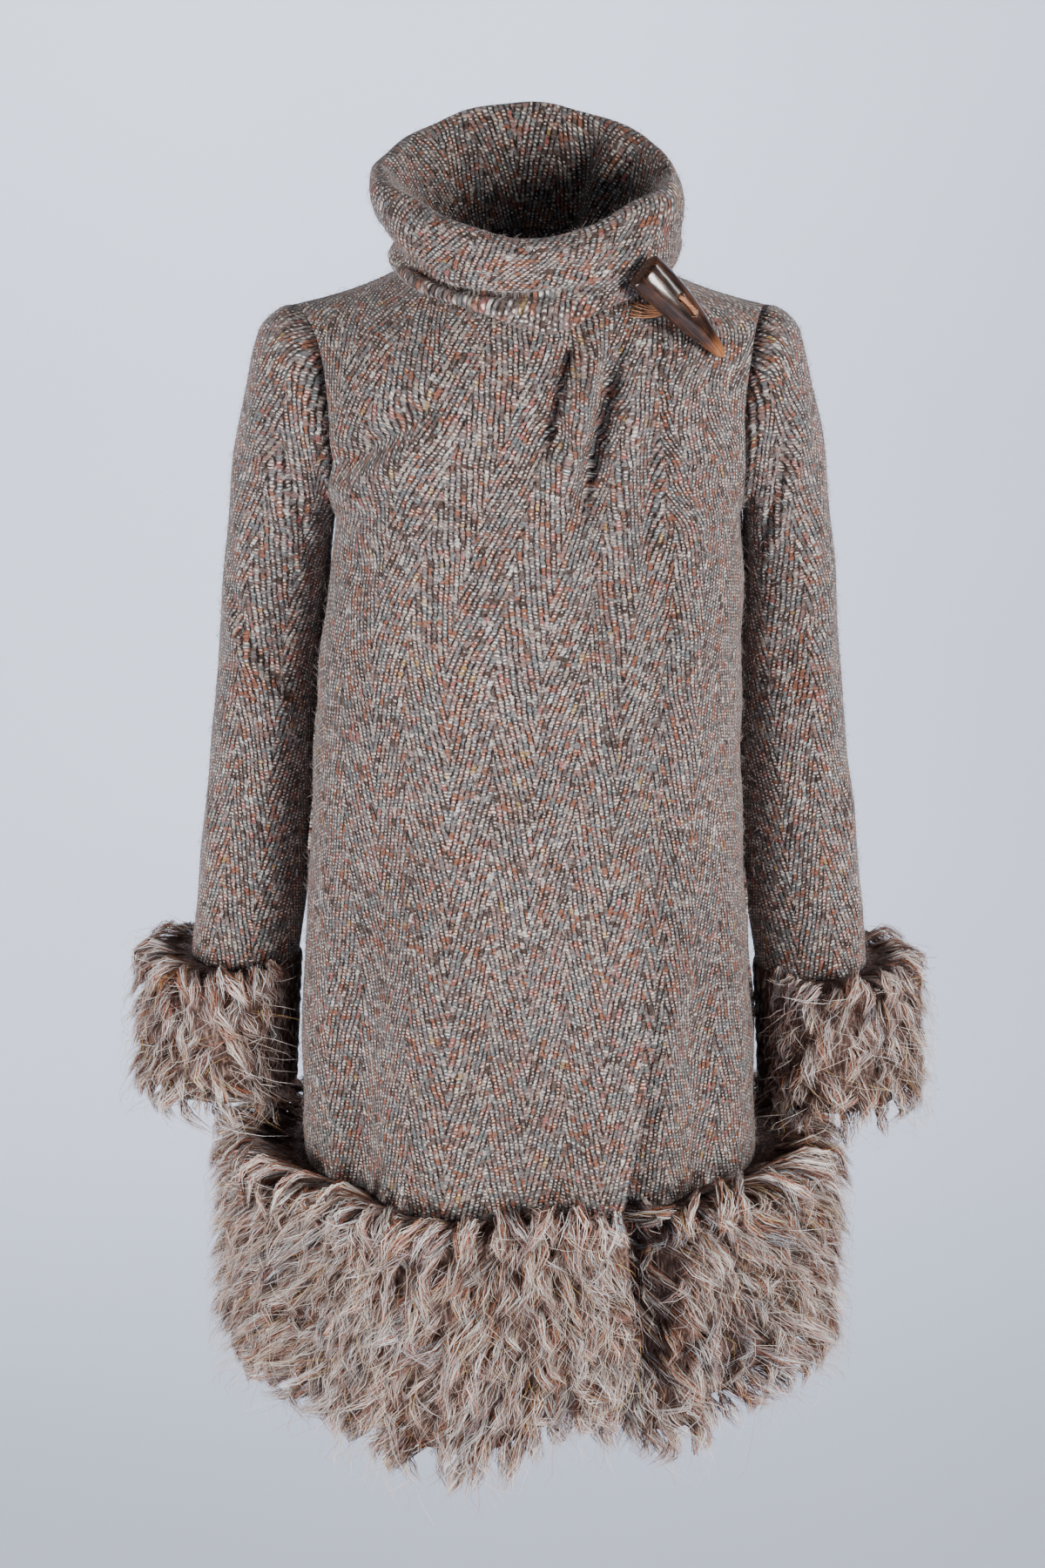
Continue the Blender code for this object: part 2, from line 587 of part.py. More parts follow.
def trim_sections(outer_edge, inner_edge, outward, drop, reach, lift, drift, pressed):
    """Sections of a shaggy trim: tufts in tiers outside, a plain backing inside.

    The tufts are raised by turns on every other column, and each tier is moved along by one.
    Where the trim is deep enough its pile also rises a little above the seam.
    """
    columns = np.arange(len(outer_edge))
    lip = ease((reach * (1 - pressed) - 0.008) / 0.02)
    sections = []
    for k, row in enumerate(TRIM_OUTSIDE):
        tier = k // 2
        tuft = TUFT_HEIGHT * np.where((columns + tier) % 2 == 0, 1.0, -0.6)
        tuft = tuft + 0.0025 * np.sin(columns * 1.9 + k * 1.3)
        deep = reach * (1 - 0.9 * pressed * (1 - ease(row.drop / 0.9)))
        out = deep * row.share
        if row.share > 0.5:
            out = out + tuft * np.minimum(deep / 0.03, 1.0) ** 2
        fall = drop * (row.drop if row.drop > 0 else row.drop * lip)
        if row.drop > 0.9:
            fall = fall + 0.005 * np.sin(columns * 2.6)
        point = outer_edge + outward * (out + lift * max(row.drop, 0.0))[:, None]
        point = point + drift * max(row.drop, 0.0)
        point[:, 2] -= fall
        sections.append(point)
    for row in TRIM_INSIDE:
        out = reach * (1 - pressed) * row.share + lift * row.drop
        point = inner_edge + outward * out[:, None] + drift * row.drop
        point[:, 2] -= drop * row.drop
        sections.append(point)
    return np.stack(sections, 1)


def make_hem_trim(name, surface, base, sign, start, end, shape_of, material):
    """The trim hangs from a panel's hem edge and its pile stands out from the smooth body."""
    measure = surface(np.linspace(start, end, 200), np.zeros(200))
    length = np.linalg.norm(np.diff(measure, axis=0), axis=1).sum()
    count = 2 * round(length / HEM_PITCH / 2)
    u = np.broadcast_to(np.linspace(start, end, count + 1), (2, count + 1))
    v = np.array([[0.0], [0.05]]) + np.zeros_like(u)
    outer = wall(surface, u, v, sign)[0][0]
    outward = normals(base, u, v, sign)[0]
    outward[:, 2] = 0.0
    outward = unit(outward)
    inner = outer - outward * WALL
    u = u[0]
    for edge in (outer, inner):
        edge[:, 2] = HEM_Z - SEAM_GAP
    drop, reach, lift, pressed = shape_of(u)
    sections = trim_sections(outer, inner, outward, drop, reach, lift, np.zeros(3), pressed)
    return loft(name, sections, material, cap="flat")


def make_hem_trims(material):
    edge = float(over_edge(0.0))
    hidden = float(under_edge(0.0))

    def full(u):
        return HEM_REACH_FRONT + (HEM_REACH_SIDE - HEM_REACH_FRONT) * np.sin(u * math.pi / 2)**2

    def over(u):
        near = ease((u + 0.30) / (edge + 0.30))
        round_end = 1 - 0.45 * ease((u - edge + 0.05) / 0.05)
        reach = (full(u) + (HEM_REACH_EDGE - full(u)) * near) * round_end
        lift = HEM_LIFT_EDGE * ease((u - hidden + 0.30) / 0.34)
        return through(HEM_DROPS, "over", u), reach, lift, np.zeros_like(u)

    def under(u):
        free = ease((u - edge - 0.02) / 0.14)
        reach = HEM_REACH_UNDER + (full(u) - HEM_REACH_UNDER) * free
        return through(HEM_DROPS, "under", u), reach, np.zeros_like(u), 1 - free

    def plain(u):
        return through(HEM_DROPS, "back", u), full(u), np.zeros_like(u), np.zeros_like(u)

    make_hem_trim("hem_trim_front_right", over_front, front_base, 1.0, -1.0, edge, over,
                  material)
    make_hem_trim("hem_trim_front_left", under_front, front_base, 1.0, hidden, 1.0, under,
                  material)
    make_hem_trim("hem_trim_back", back_panel, back_base, -1.0, -1.0, 1.0, plain, material)


def make_cuff_trim(arm, material):
    angles = np.linspace(0, 2 * math.pi, CUFF_COLUMNS, endpoint=False)
    outer = sleeve_ring(SLEEVE[-1], arm, angles)
    along = np.roll(outer, -1, 0) - np.roll(outer, 1, 0)
    outward = arm.side * unit(np.cross(along, np.array([0.0, 0.0, -1.0])))
    inner = outer - outward * WALL
    for edge in (outer, inner):
        edge[:, 2] -= SEAM_GAP
    reach = CUFF_REACH_BODY + (CUFF_REACH_OUT - CUFF_REACH_BODY) * ease(
        (np.cos(angles) + 0.93) / 1.25)
    drift = np.array([arm.side * CUFF_DRIFT, 0.0, 0.0])
    none = np.zeros_like(reach)
    sections = trim_sections(outer, inner, outward, CUFF_DROP, reach, none, drift, none)
    return loft(f"cuff_trim_{arm.name}", sections, material, closed=True)


def toggle_frame():
    """Axis, face direction and sideways direction of the toggle."""
    axis = (TOGGLE_TIP - TOGGLE_HEAD).normalized()
    aside = axis.cross(TOGGLE_FACE).normalized()
    face = aside.cross(axis).normalized()
    return axis, face, aside


def toggle_point(along, face_out=0.0, aside_out=0.0):
    """A place at a share of the toggle's length, off its bowed middle line."""
    axis, face, aside = toggle_frame()
    length = (TOGGLE_TIP - TOGGLE_HEAD).length
    bow = float(through(TOGGLE, "bow", np.asarray(along)))
    return TOGGLE_HEAD + axis * (length * along) + face * (face_out + bow) + aside * aside_out


def make_toggle(material):
    """A tapered, slightly bowed horn with two holes through its face."""
    axis, face, aside = toggle_frame()
    sections = []
    for cut in TOGGLE:
        centre = toggle_point(cut.along)
        ring = []
        for k in range(TOGGLE_SIDES):
            angle = 2 * math.pi * k / TOGGLE_SIDES
            ring.append(centre + aside * (cut.width * math.cos(angle))
                        + face * (cut.thick * math.sin(angle)))
        sections.append(ring)
    horn = loft("toggle", np.array(sections), material, cap="flat")
    for along in HOLE_ALONG:
        bpy.ops.mesh.primitive_cylinder_add(vertices=12, radius=HOLE_RADIUS, depth=0.05)
        cutter = bpy.context.object
        cutter.name = f"hole_cutter_{int(along * 100)}"
        cutter.location = toggle_point(along, aside_out=-HOLE_ASIDE)
        cutter.rotation_euler = face.to_track_quat("Z", "Y").to_euler()
        cutter.hide_render = True
        cutter.display_type = "WIRE"
        for owner in cutter.users_collection:
            owner.objects.unlink(cutter)
        CUTTERS.objects.link(cutter)
        hole = horn.modifiers.new("hole", "BOOLEAN")
        hole.operation = "DIFFERENCE"
        hole.object = cutter
    return horn


def thread(name, points, radius, material, resolution=2):
    """A round thread: a curve with a bevel and filled ends."""
    data = bpy.data.curves.new(name, "CURVE")
    data.dimensions = "3D"
    data.bevel_depth = radius
    data.bevel_resolution = resolution
    data.use_fill_caps = True
    spline = data.splines.new("POLY")
    spline.points.add(len(points) - 1)
    for point, place in zip(spline.points, points):
        point.co = (*place, 1.0)
    data.materials.append(material)
    built = bpy.data.objects.new(name, data)
    COAT.objects.link(built)
    return built


def make_lashing(material):
    """Wound thread: up through one hole, over the face and down through the other."""
    near, far = HOLE_ALONG
    top = 0.0110
    low = -0.0125
    points = [toggle_point(near, low, -HOLE_ASIDE), toggle_point(near, 0.0, -HOLE_ASIDE),
              toggle_point(near, top - 0.0010, -HOLE_ASIDE),
              toggle_point(near + 0.025, top, -HOLE_ASIDE),
              toggle_point((near + far) / 2, top, -HOLE_ASIDE),
              toggle_point(far - 0.025, top - 0.0004, -HOLE_ASIDE),
              toggle_point(far, top - 0.0020, -HOLE_ASIDE),
              toggle_point(far, 0.0, -HOLE_ASIDE), toggle_point(far, low, -HOLE_ASIDE)]
    thread("toggle_lashing", points, LASHING_RADIUS, material)


def make_strands(fronts, material):
    """The loop's strands fan out from under the toggle to where they are sewn to a front."""
    depsgraph = bpy.context.evaluated_depsgraph_get()
    trees = [BVHTree.FromObject(front, depsgraph) for front in fronts]
    for k in range(STRANDS):
        rank = k - (STRANDS - 1) / 2
        seen_from = Vector((STRAND_SEWN_X, -0.3, STRAND_SEWN_Z + STRAND_FAN * rank))
        hits = [tree.ray_cast(seen_from, Vector((0, 1, 0))) for tree in trees]
        spot, normal = min((hit[:2] for hit in hits if hit[0]), key=lambda hit: hit[0].y)
        start = spot - Vector((0, 1, 0)) * ((STRAND_RADIUS + SEAM_GAP) / abs(normal.y))
        aside = STRAND_ASIDE + STRAND_PITCH * rank
        width, thick = (float(through(TOGGLE, field, np.asarray(STRAND_ALONG)))
                        for field in ("width", "thick"))
        below = thick * math.sqrt(1 - (aside / width) ** 2) + STRAND_RADIUS + SEAM_GAP
        end = toggle_point(STRAND_ALONG, -below, aside)
        bend = (start + end) / 2 + Vector((0.0, -0.0010, -0.0015))
        thread(f"toggle_strand_{k + 1}", [start, bend, end], STRAND_RADIUS, material, 1)


def material_of(name):
    red, green, blue, rough = COLOURS[name]
    made = bpy.data.materials.new(name)
    made.use_nodes = True
    shader = made.node_tree.nodes["Principled BSDF"]
    shader.inputs["Base Color"].default_value = (red, green, blue, 1.0)
    shader.inputs["Roughness"].default_value = rough
    shader.inputs["Metallic"].default_value = 0.0
    return made


def collection_of(name):
    made = bpy.data.collections.new(name)
    bpy.context.scene.collection.children.link(made)
    return made


for old in list(bpy.data.objects):
    bpy.data.objects.remove(old, do_unlink=True)
COAT = collection_of("wool_coat")
CUTTERS = collection_of("cutters")
tweed, shag = material_of("tweed"), material_of("shag")
horn, copper = material_of("horn"), material_of("thread")

both_fronts = make_body(tweed)
make_collar(tweed)
for arm in ARMS:
    make_sleeve(arm, tweed)
    make_cuff_trim(arm, shag)
make_hem_trims(shag)
make_toggle(horn)
make_lashing(copper)
make_strands(both_fronts, copper)
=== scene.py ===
# %% [markdown]
# # A tweed coat with shaggy trims
#
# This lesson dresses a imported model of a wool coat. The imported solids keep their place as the
# frame: they carry the collisions, and the pieces made here stand for them. Everything is in
# metres, +Z is up, +X is the coat's own left and the front faces -Y. The origin lies midway
# between the two shoulder points.

import math
from collections import namedtuple

import bmesh
import bpy
import numpy as np
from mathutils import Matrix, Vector
from mathutils.bvhtree import BVHTree


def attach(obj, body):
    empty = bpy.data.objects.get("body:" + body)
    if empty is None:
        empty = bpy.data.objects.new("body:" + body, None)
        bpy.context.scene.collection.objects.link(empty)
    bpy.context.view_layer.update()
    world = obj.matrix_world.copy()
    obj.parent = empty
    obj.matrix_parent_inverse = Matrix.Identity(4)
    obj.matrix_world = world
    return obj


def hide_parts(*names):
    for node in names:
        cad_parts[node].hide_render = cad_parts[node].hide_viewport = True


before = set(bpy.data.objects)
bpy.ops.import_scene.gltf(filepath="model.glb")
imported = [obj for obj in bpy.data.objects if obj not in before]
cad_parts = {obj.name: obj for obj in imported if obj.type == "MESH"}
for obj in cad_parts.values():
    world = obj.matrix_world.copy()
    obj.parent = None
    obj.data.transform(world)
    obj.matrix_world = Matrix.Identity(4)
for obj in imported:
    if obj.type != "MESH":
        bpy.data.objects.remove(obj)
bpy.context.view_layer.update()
SCENE = bpy.context.scene
print("nodes:", sorted(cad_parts))

# %% [markdown]
# ## Camera
#
# The photograph was taken from a little above the collar with a long lens, level to the left
# and right and tipped down. A long lens keeps the coat's sides almost parallel. The camera comes
# first, so that each piece can be judged in the frame of the photograph.

# %% Camera
CAMERA_PLACE = (-0.0055, -3.2, 0.527)
CAMERA_TILT = math.radians(16.0)
FILM_HEIGHT_MM = 36.0
FOCAL_PIXELS = 4714
IMAGE_HEIGHT = 1800
camera_data = bpy.data.cameras.new("camera")
camera_data.sensor_fit = "VERTICAL"
camera_data.sensor_height = FILM_HEIGHT_MM
camera_data.lens = FOCAL_PIXELS / IMAGE_HEIGHT * FILM_HEIGHT_MM
camera = bpy.data.objects.new("camera", camera_data)
camera.location = CAMERA_PLACE
camera.rotation_euler = (math.pi / 2 - CAMERA_TILT, 0.0, 0.0)
SCENE.collection.objects.link(camera)
SCENE.camera = camera
print("lens:", round(camera_data.lens, 1), "mm")

# %% [markdown]
# ## Helpers for shapes
#
# Every piece is a surface worked out with whole arrays. These few helpers are used by all of
# them: a smooth curve through a table's column, a soft step, unit vectors, and a way to put
# arrays of points and faces into a mesh with its own map and colours.

# %% Curves and steps
def smooth_rows(values, knots, at):
    """Smooth cubic through rows of values that stand at knots, read at other places."""
    slope = np.gradient(values, knots, axis=0)
    i = np.clip(np.searchsorted(knots, at) - 1, 0, len(knots) - 2)
    shape = np.shape(at) + (1,) * (values.ndim - 1)
    gap = (knots[i + 1] - knots[i]).reshape(shape)
    t = np.clip((at - knots[i]).reshape(shape) / gap, 0.0, 1.0)
    start = (2 * t**3 - 3 * t**2 + 1) * values[i] + (t**3 - 2 * t**2 + t) * gap * slope[i]
    end = (3 * t**2 - 2 * t**3) * values[i + 1] + (t**3 - t**2) * gap * slope[i + 1]
    return start + end


def through(rows, field, at):
    """Smooth cubic through one column of a table, whose first column is the position."""
    return smooth_rows(np.array([getattr(row, field) for row in rows]),
                       np.array([row[0] for row in rows]), np.asarray(at))


def ease(t):
    """Soft step: 3 t squared less 2 t cubed, held at 0 below 0 and at 1 above 1."""
    t = np.clip(t, 0.0, 1.0)
    return t * t * (3 - 2 * t)


def bell(x, middle, width):
    """Bell curve: 1 at its middle, and 1 / e at a width to either side."""
    return np.exp(-((x - middle) / width) ** 2)


def unit(vectors):
    """Vectors divided by their own length."""
    return vectors / np.maximum(np.linalg.norm(vectors, axis=-1, keepdims=True), 1e-12)


def lengths_along(points):
    """Length along a path at each of its points, from 0."""
    return np.concatenate([[0.0], np.cumsum(np.linalg.norm(np.diff(points, axis=0), axis=1))])


# %% Arrays into meshes
def mesh_piece(name, points, faces, material, uv=None, colour=None):
    """Makes an object from points (n by 3) and a list of face arrays (each m by 3 or m by 4).

    uv is a list of arrays that match the faces (m by corners by 2). colour is n by 3.
    """
    mesh = bpy.data.meshes.new(name)
    corners = np.concatenate([f.ravel() for f in faces]).astype(np.int32)
    sizes = np.concatenate([np.full(len(f), f.shape[1], np.int32) for f in faces])
    starts = np.concatenate([[0], np.cumsum(sizes)[:-1]]).astype(np.int32)
    mesh.vertices.add(len(points))
    mesh.vertices.foreach_set("co", points.astype(np.float32).ravel())
    mesh.loops.add(len(corners))
    mesh.loops.foreach_set("vertex_index", corners)
    mesh.polygons.add(len(sizes))
    mesh.polygons.foreach_set("loop_start", starts)
    mesh.update(calc_edges=True)
    if uv is not None:
        layer = mesh.uv_layers.new(name="grain")
        flat = np.concatenate([c.reshape(-1, 2) for c in uv]).astype(np.float32)
        layer.data.foreach_set("uv", flat.ravel())
    if colour is not None:
        layer = mesh.color_attributes.new(name="strand", type="FLOAT_COLOR", domain="POINT")
        rgba = np.ones((len(points), 4), np.float32)
        rgba[:, :3] = colour
        layer.data.foreach_set("color", rgba.ravel())
    mesh.validate()
    mesh.materials.append(material)
    mesh.shade_smooth()
    made = bpy.data.objects.new(name, mesh)
    SCENE.collection.objects.link(made)
    return made


def grid_faces(rows, columns, wrap=False, flip=False):
    """Quads between neighbours of a grid of points: their vertices, and their map corners.

    A wrapped grid joins its last column to its first, while its map has one column more.
    """
    i, j = np.meshgrid(np.arange(rows - 1), np.arange(columns - (0 if wrap else 1)),
                       indexing="ij")
    i, j = i.ravel(), j.ravel()
    right = (j + 1) % columns
    quads = np.stack([i * columns + j, i * columns + right,
                      (i + 1) * columns + right, (i + 1) * columns + j], 1)
    across = columns + (1 if wrap else 0)
    spots = np.stack([i * across + j, i * across + j + 1,
                      (i + 1) * across + j + 1, (i + 1) * across + j], 1)
    if flip:
        quads, spots = quads[:, ::-1], spots[:, ::-1]
    return quads, spots


def normals_of(points, wrap=False):
    """Unit normals of a grid of points: slope along the columns crossed with that up the rows."""
    if wrap:
        across = np.roll(points, -1, 1) - np.roll(points, 1, 1)
    else:
        across = np.gradient(points, axis=1)
    return unit(np.cross(across, np.gradient(points, axis=0)))


RANDOM = np.random.default_rng(20)


def ribbons(centre, across, width):
    """Leaf-shaped ribbons: rows of two points that close in one tip point.

    centre and across are strands by steps by 3, width is strands by steps.
    """
    count, steps = centre.shape[:2]
    left = centre - across * width[..., None] / 2
    right = centre + across * width[..., None] / 2
    body = np.stack([left[:, :-1], right[:, :-1]], 2).reshape(count, -1, 3)
    points = np.concatenate([body, centre[:, -1:]], 1)
    size = 2 * (steps - 1) + 1
    first = np.arange(count)[:, None] * size
    low = 2 * np.arange(steps - 2)[None, :]
    quads = np.stack([first + low, first + low + 1, first + low + 3, first + low + 2], -1)
    tips = np.stack([first[:, 0] + size - 3, first[:, 0] + size - 2, first[:, 0] + size - 1], 1)
    return points.reshape(-1, 3), [quads.reshape(-1, 4), tips], size


WALL = 0.003            # one layer of the heavy tweed


def cloth_wall(name, outer, material, grain, wrap=False, inward=1.0):
    """A closed cloth wall: the grid of outer points, an inner grid moved in along the normals,
    and strips that join their borders. grain is the map, in metres along and across the weave.
    """
    rows, columns = outer.shape[:2]
    inner = outer - inward * normals_of(outer, wrap) * WALL
    count = rows * columns
    flip = inward < 0
    quads, spots = grid_faces(rows, columns, wrap, flip)
    back, back_spots = grid_faces(rows, columns, wrap, not flip)
    back = back + count
    border = []
    if wrap:
        ring = np.arange(columns)
        after = (ring + 1) % columns
        for start, turn in ((0, 1), ((rows - 1) * columns, -1)):
            strip = np.stack([start + ring, start + ring + count,
                              start + after + count, start + after], 1)
            border.append(strip[:, ::turn])
    else:
        edge = np.concatenate([np.arange(columns),
                               np.arange(1, rows) * columns + columns - 1,
                               (rows - 1) * columns + np.arange(columns - 1)[::-1],
                               np.arange(1, rows - 1)[::-1] * columns])
        after = np.roll(edge, -1)
        border.append(np.stack([edge, edge + count, after + count, after], 1))
    if flip:
        border = [strip[:, ::-1] for strip in border]
    flat = grain.reshape(-1, 2)
    at_vertex = grain[:, :columns].reshape(-1, 2)
    uv = [flat[spots], flat[back_spots]]
    uv += [at_vertex[strip % count] for strip in border]
    points = np.concatenate([outer.reshape(-1, 3), inner.reshape(-1, 3)])
    made = mesh_piece(name, points, [quads, back] + border, material, uv)
    print(name, "triangles:", 2 * sum(len(f) for f in [quads, back] + border))
    return made

# %% [markdown]
# ## The coat's smooth body
#
# On the real coat the body is a back and two fronts, cut flared and sewn at the sides and
# shoulders. Here each height has a squared ellipse, whose sizes come from a short table, and the
# chest sweeps up to the neckline and the shoulder seam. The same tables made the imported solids,
# so the fine cloth lies exactly where they do.

# %% Sizes of the body
SEAM_GAP = 0.0004       # clearance between two pieces at a seam
STEP = 0.004            # parameter step for measuring a surface's slope
SQUARE = 2.25           # 2 is an ellipse, more is squarer
Level = namedtuple("Level", "height half_width front_depth back_depth shift")
BODY = (
    Level(-0.700, 0.1870, 0.166, 0.152, 0.000),     # hem seam
    Level(-0.600, 0.1860, 0.160, 0.147, -0.001),    # thigh
    Level(-0.500, 0.1800, 0.154, 0.140, -0.002),    # hip
    Level(-0.390, 0.1735, 0.148, 0.131, -0.002),    # waist
    Level(-0.300, 0.1695, 0.144, 0.123, 0.000),     # ribs
    Level(-0.230, 0.1655, 0.141, 0.117, 0.005),     # bust
    Level(-0.165, 0.1610, 0.138, 0.114, 0.008),     # underarm
)
HEM_Z = BODY[0].height
UNDERARM_Z = BODY[-1].height
CHEST = Level(-0.085, 0.1725, 0.134, 0.118, 0.006)
CHEST_REACH = 0.80      # share of the quarter turn that the chest section covers
NECK_SHARE = 0.5        # share of the half width that is neckline, the rest is shoulder seam
NECK_HALF = 0.070
NECK_FRONT, NECK_FRONT_Z = 0.095, 0.012
NECK_BACK, NECK_BACK_Z = 0.068, 0.056
NECK_SIDE_Z = 0.046
SHOULDER_HALF = 0.185
SHOULDER_Y = 0.006
SHOULDER_SAG = 0.006
TOP = 3.0               # the height parameter: 0 hem, 1 underarm, 2 chest, 3 top edge


# %% Body surface
def oval(turn, half_width, depth):
    """Point of a squared ellipse at an angle from its depth axis."""
    across = np.abs(np.sin(turn)) / half_width
    along = np.abs(np.cos(turn)) / depth
    radius = (across**SQUARE + along**SQUARE) ** (-1 / SQUARE)
    return radius * np.sin(turn), radius * np.cos(turn)


def top_edge(u, facing):
    """Neckline as a quarter ellipse, then the shoulder seam as a slightly hollow line."""
    share, side = np.abs(u), np.sign(u)
    turn = np.clip(share / NECK_SHARE, 0, 1) * math.pi / 2
    out = np.clip((share - NECK_SHARE) / (1 - NECK_SHARE), 0, 1)
    depth, centre_z = (NECK_FRONT, NECK_FRONT_Z) if facing < 0 else (NECK_BACK, NECK_BACK_Z)
    x = NECK_HALF * np.sin(turn) + (SHOULDER_HALF - NECK_HALF) * out
    y = facing * depth * np.cos(turn) + SHOULDER_Y * out
    z = centre_z + (NECK_SIDE_Z - centre_z) * np.sin(turn) ** 2
    z = z - NECK_SIDE_Z * out - SHOULDER_SAG * np.sin(math.pi * out)
    return np.stack([side * x, y, z], -1)


def body(u, v, facing):
    """The smooth body: u runs -1 to 1 across a front or back, v runs 0 to 3 upwards.

    Up to 1 it is the ellipse of its height. From 1 to 2 it moves to the chest section, and from
    2 to 3 a quarter turn of sine and cosine carries the chest over to the top edge.
    """
    u, v = np.broadcast_arrays(np.asarray(u, float), np.asarray(v, float))
    z = HEM_Z + (UNDERARM_Z - HEM_Z) * np.clip(v, 0, 1)
    depth = "front_depth" if facing < 0 else "back_depth"
    x, y = oval(u * math.pi / 2, through(BODY, "half_width", z), through(BODY, depth, z))
    low = np.stack([x + through(BODY, "shift", z), facing * y, z], -1)
    x, y = oval(u * math.pi / 2 * CHEST_REACH, CHEST.half_width, getattr(CHEST, depth))
    chest = np.stack([x + CHEST.shift, facing * y, np.full_like(x, CHEST.height)], -1)
    first = np.clip(v - 1, 0, 1)
    second = np.clip(v - 2, 0, 1) * math.pi / 2
    edge = np.abs(u) ** 3
    aside = first + (np.sin(first * math.pi / 2) - first) * edge
    up = first + (1 - np.cos(first * math.pi / 2) - first) * edge
    point = low + (chest - low) * np.stack([aside, aside, up], -1)
    rise = np.stack([1 - np.cos(second), 1 - np.cos(second), np.sin(second)], -1)
    point = point + (top_edge(u, facing) - chest) * rise
    point[..., 1] += facing * SEAM_GAP / 2
    return point


# %% [markdown]
# ## Folds
#
# A heavy coat hangs in a few broad flutes and pinches into pleats under the toggle. Each fold is
# a line between two points with a width on either side of it and a height: a trough is a fold of
# negative height. A pleat is steep on one side and easy on the other, because there the cloth is
# folded over itself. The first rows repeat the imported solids' folds, and the later ones are the
# finer creases that only the cloth shows.

# %% Folds of the fronts and the back
Fold = namedtuple("Fold", "x_top z_top x_low z_low left right height")
FRONT_FOLDS = (
    Fold(0.042, 0.020, 0.010, -0.118, 0.0125, 0.0074, -0.0165),     # first pleat
    Fold(0.054, 0.010, 0.024, -0.130, 0.0080, 0.0085, 0.0110),      # ridge between the pleats
    Fold(0.072, 0.006, 0.038, -0.170, 0.0130, 0.0084, -0.0185),     # second pleat
    Fold(0.082, -0.030, 0.056, -0.200, 0.0085, 0.0130, 0.0085),     # ridge below the toggle
    Fold(0.098, -0.050, 0.090, -0.210, 0.0090, 0.0060, -0.0060),    # fall to the edge
    Fold(0.052, -0.140, 0.076, -0.340, 0.0120, 0.0100, -0.0080),    # long soft trough
    Fold(0.030, -0.120, 0.020, -0.340, 0.0180, 0.0180, 0.0045),     # its soft ridge
    Fold(0.020, -0.060, -0.060, -0.330, 0.0280, 0.0280, 0.0060),    # bias drape to the hip
    Fold(0.010, -0.045, -0.095, -0.250, 0.0130, 0.0180, -0.0045),   # crease of the drape
    Fold(-0.010, -0.035, -0.140, -0.200, 0.0120, 0.0150, 0.0036),   # second drape
    Fold(-0.052, -0.040, -0.166, -0.128, 0.0085, 0.0100, -0.0115),  # yoke crease
    Fold(-0.048, -0.058, -0.168, -0.158, 0.0150, 0.0180, 0.0085),   # roll below the yoke crease
    Fold(-0.092, -0.150, -0.150, -0.215, 0.0100, 0.0100, -0.0035),  # pull to the underarm
    Fold(-0.118, -0.240, -0.124, -0.640, 0.0200, 0.0240, -0.0050),  # soft dip by the side
    Fold(-0.074, -0.230, -0.082, -0.600, 0.0220, 0.0220, 0.0045),   # soft swell beside it
    Fold(-0.024, -0.260, -0.030, -0.620, 0.0180, 0.0180, -0.0035),  # soft dip near the middle
    Fold(0.074, -0.360, 0.076, -0.640, 0.0150, 0.0120, 0.0040),     # swell before the free edge
    Fold(-0.060, -0.400, -0.078, -0.980, 0.0380, 0.0380, 0.0170),   # flute over the right thigh
    Fold(0.006, -0.420, 0.016, -0.980, 0.0260, 0.0260, -0.0100),    # trough beside it
    Fold(0.040, -0.460, 0.052, -0.980, 0.0170, 0.0170, 0.0040),     # small flute
    Fold(-0.140, -0.400, -0.150, -0.980, 0.0240, 0.0240, -0.0160),  # right side trough
    Fold(0.092, -0.420, 0.102, -0.980, 0.0280, 0.0280, 0.0080),     # flute over the left thigh
    Fold(0.142, -0.420, 0.152, -0.980, 0.0220, 0.0220, -0.0140),    # left side trough
    Fold(0.118, -0.130, 0.126, -0.420, 0.0120, 0.0160, 0.0028),     # side strip's swell
)
BACK_FOLDS = (
    Fold(-0.075, -0.300, -0.092, -0.980, 0.0340, 0.0340, 0.0140),
    Fold(-0.020, -0.360, -0.024, -0.980, 0.0260, 0.0260, -0.0080),
    Fold(0.040, -0.280, 0.052, -0.980, 0.0360, 0.0360, 0.0130),
    Fold(0.112, -0.400, 0.124, -0.980, 0.0260, 0.0260, -0.0060),
    Fold(-0.118, -0.060, -0.150, -0.200, 0.0110, 0.0130, -0.0035),  # pull to the right armhole
    Fold(0.118, -0.070, 0.158, -0.200, 0.0130, 0.0110, -0.0035),    # pull to the left armhole
    Fold(-0.070, 0.020, 0.075, 0.016, 0.0140, 0.0140, -0.0025),     # below the collar
    Fold(-0.030, -0.120, -0.046, -0.380, 0.0200, 0.0200, 0.0030),   # slack over the blades
)
FOLD_EASE = 0.30        # share of a fold's length over which it fades in and out


def fold_height(x, z, folds):
    """Sum of the folds: a bell across each fold's line, wider on its easy side, times a soft
    step in and out along it."""
    total = np.zeros_like(x)
    for fold in folds:
        run = np.array([fold.x_low - fold.x_top, fold.z_low - fold.z_top])
        length = np.hypot(*run)
        along = ((x - fold.x_top) * run[0] + (z - fold.z_top) * run[1]) / length**2
        apart = ((x - fold.x_top) * run[1] - (z - fold.z_top) * run[0]) / length
        width = np.where(apart > 0, fold.left, fold.right)
        fade = ease(along / FOLD_EASE) * ease((1 - along) / FOLD_EASE)
        total += fold.height * bell(apart, 0.0, width) * fade
    return total


def unevenness(x, z):
    """Slight waves of hand-pressed cloth: three crossed sines of about a millimetre."""
    return (0.0007 * np.sin(41 * x + 17 * z) + 0.0006 * np.sin(63 * z - 29 * x + 1.3)
            + 0.0004 * np.sin(97 * x + 71 * z + 0.5))


